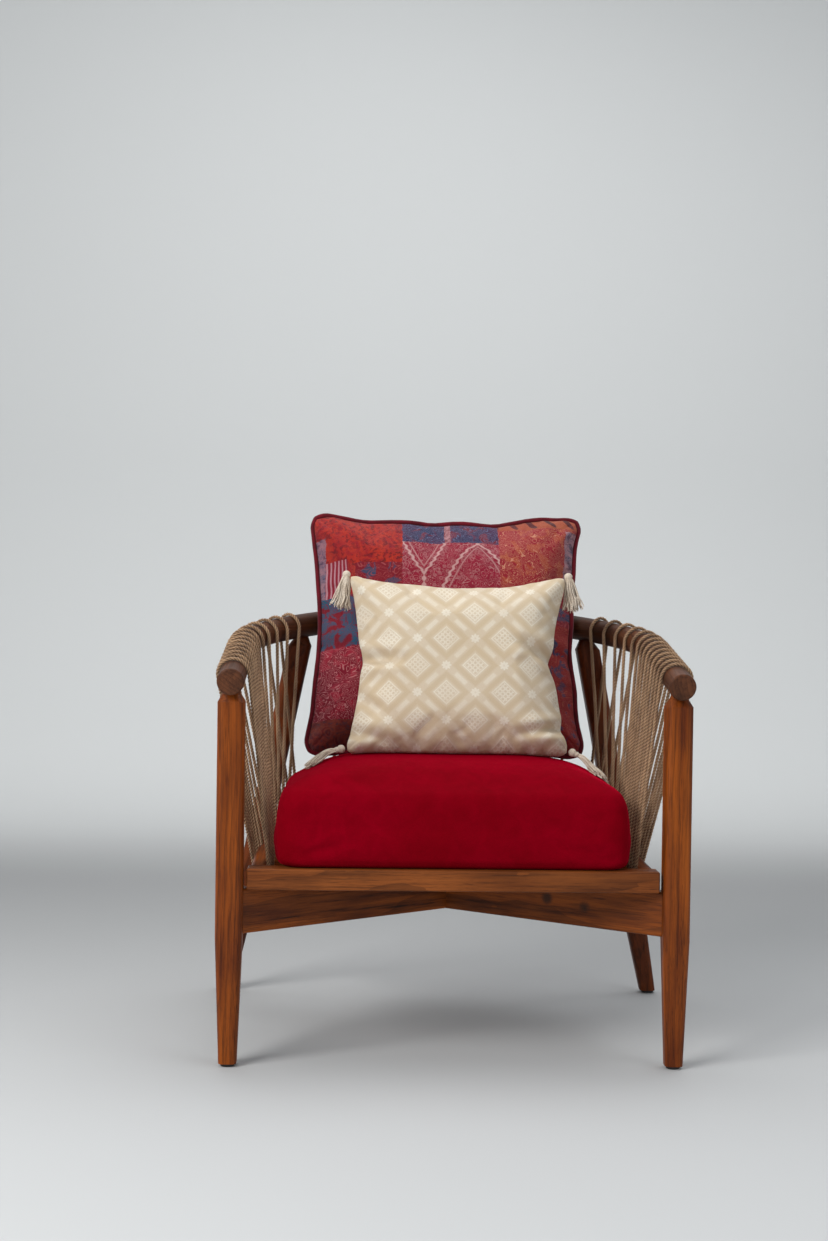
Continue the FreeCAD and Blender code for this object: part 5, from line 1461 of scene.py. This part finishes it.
def make_tassel(name, corner_s, corner_t, rise, reach, hang, seed, lying):
    """A tassel knotted at a corner of the small cushion: it hangs, or lies on the seat cushion."""
    corner = SMALL.seam_spot(corner_s, corner_t)
    outward = Vector((corner_s, 0, rise)).normalized()
    knot = SMALL.stand @ (corner + outward * (SIZES["tassel head"] * reach + 0.0006))
    down = Vector(hang).normalized()
    turn = Vector((0, 0, -1)).rotation_difference(down).to_matrix().to_4x4()
    place = Matrix.Translation(knot) @ turn
    head = wound_head()
    if lying:
        paths = paths_object(name + "_paths", lay_strands(knot, down, seed))
        piece = run_nodes(name + "_yarn", paths, ROUND_TREE, {
            "Radius": SIZES["tassel thread"], "Finish": YARN})
        head.transform(place)
        work = bmesh.new()
        work.from_mesh(piece.data)
        work.from_mesh(head)
        work.to_mesh(piece.data)
        work.free()
        for face in piece.data.polygons:
            face.use_smooth = True
    else:
        piece = run_nodes(name + "_yarn", add_object(name + "_head", head), TASSEL_TREE, {
            "Threads": 95, "Thread radius": SIZES["tassel thread"],
            "Neck radius": SIZES["tassel neck"], "Skirt radius": 0.016, "Length": 0.058,
            "Seed": seed, "Finish": YARN,
        })
        piece.data.transform(place)
    keep_clear(piece, [small], SIZES["tassel clearance"])
    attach(piece, "small_cushion")
    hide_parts(name)


# Each tassel: its corner of the small cushion, the rise of its knot beside the corner, the
# knot's distance out in head radii, the way it hangs, its seed, and whether it lies down.
TASSELS = (
    ("tassel_top_left", -1, 1, 0.6, 1.0, (-0.16, -0.12, -1), 3, False),
    ("tassel_top_right", 1, 1, 0.6, 1.0, (0.16, -0.12, -1), 5, False),
    ("tassel_bottom_left", -1, -1, 0.3, 1.45, (-1, -0.2, -0.22), 7, True),
    ("tassel_bottom_right", 1, -1, 0.1, 1.3, (1, -0.2, -0.45), 9, True),
)
for tassel in TASSELS:
    make_tassel(*tassel)


# Stage: a pale sweep, soft lamps, and the camera where the photograph was taken from.

def make_sweep():
    """Floor that curves up into a backdrop."""
    bend_y, bend_radius, steps = 2.2, 1.2, 12
    profile = [(-6.0, 0.0), (bend_y, 0.0)]
    for step in range(1, steps + 1):
        angle = math.radians(90 * step / steps)
        profile.append((bend_y + bend_radius * math.sin(angle),
                        bend_radius - bend_radius * math.cos(angle)))
    profile.append((bend_y + bend_radius, 7.0))
    verts = [(x, y, z) for y, z in profile for x in (-9.0, 9.0)]
    faces = [(2 * i, 2 * i + 1, 2 * i + 3, 2 * i + 2) for i in range(len(profile) - 1)]
    mesh = bpy.data.meshes.new("backdrop")
    mesh.from_pydata(verts, [], faces)
    for face in mesh.polygons:
        face.use_smooth = True
    sweep = add_object("backdrop", mesh)
    material, s, surface = new_material("Backdrop paper", 0.9, Specular_IOR_Level=0.2)
    here = s.here()
    y = s.split(here)["Y"]
    mottle = s.calc("MULTIPLY", s.calc("SUBTRACT", s.noise(here, 1.1, 2.0), 0.5), 0.1)
    # The floor's colour runs from pale at the front to darker towards the bend, and paler again up
    # the bend and wall: painted shade and light, standing in for the lamps' falloff and the shade
    # behind and under the chair.
    near = s.between(s.calc("ADD", y, mottle), -1.3, 1.6, smooth=True)
    shaded_floor = s.mix(near, srgb(206, 208, 209), srgb(154, 155, 156))
    far = s.between(s.calc("ADD", y, mottle), 1.3, 2.9, smooth=True)
    s.feed(surface.inputs["Base Color"], s.mix(far, shaded_floor, srgb(214, 216, 216)))
    mesh.materials.append(material)


def add_lamp(name, place, target, size, power, colour=(1.0, 1.0, 1.0)):
    data = bpy.data.lights.new(name, "AREA")
    data.shape = "RECTANGLE"
    data.size, data.size_y = size
    data.energy = power
    data.color = colour
    lamp = add_object(name, data)
    lamp.location = place
    lamp.rotation_euler = (Vector(target) - Vector(place)).to_track_quat("-Z", "Y").to_euler()


make_sweep()
add_lamp("key", (-2.5, -2.3, 2.5), (0, 0, 0.4), (1.8, 1.8), 105.0, (1.0, 0.985, 0.96))
add_lamp("fill", (2.8, -2.4, 1.6), (0, 0, 0.4), (2.0, 2.0), 19.0, (0.96, 0.98, 1.0))
add_lamp("top", (0.3, 0.7, 3.6), (0, 0.3, 0), (3.0, 2.4), 56.0)
add_lamp("wall", (0.8, 1.2, 2.6), (0.8, 3.4, 0.9), (4.0, 0.6), 11.0)
world = bpy.data.worlds.new("Studio")
world.use_nodes = True
sky = world.node_tree.nodes["Background"]
sky.inputs["Color"].default_value = (*srgb(224, 228, 232), 1.0)
sky.inputs["Strength"].default_value = 0.48
bpy.context.scene.world = world


def make_camera():
    place = Vector((-0.144958, -2.658969 - FRONT, 0.739091))
    yaw, pitch, roll = 0.0293188, 0.0178364, 0.0140041
    ahead = Vector((math.sin(yaw) * math.cos(pitch), math.cos(yaw) * math.cos(pitch),
                    -math.sin(pitch)))
    right = Vector((math.cos(yaw), -math.sin(yaw), 0))
    up = right.cross(ahead)
    across = right * math.cos(roll) + up * math.sin(roll)
    above = up * math.cos(roll) - right * math.sin(roll)
    data = bpy.data.cameras.new("camera")
    data.lens, data.sensor_width, data.sensor_fit = 50.0, 36.0, "AUTO"
    camera = add_object("camera", data)
    turned = Matrix((across, above, -ahead)).transposed().to_4x4()
    camera.matrix_world = Matrix.Translation(place) @ turned
    bpy.context.scene.camera = camera


make_camera()
bpy.context.scene.view_settings.view_transform = "Standard"
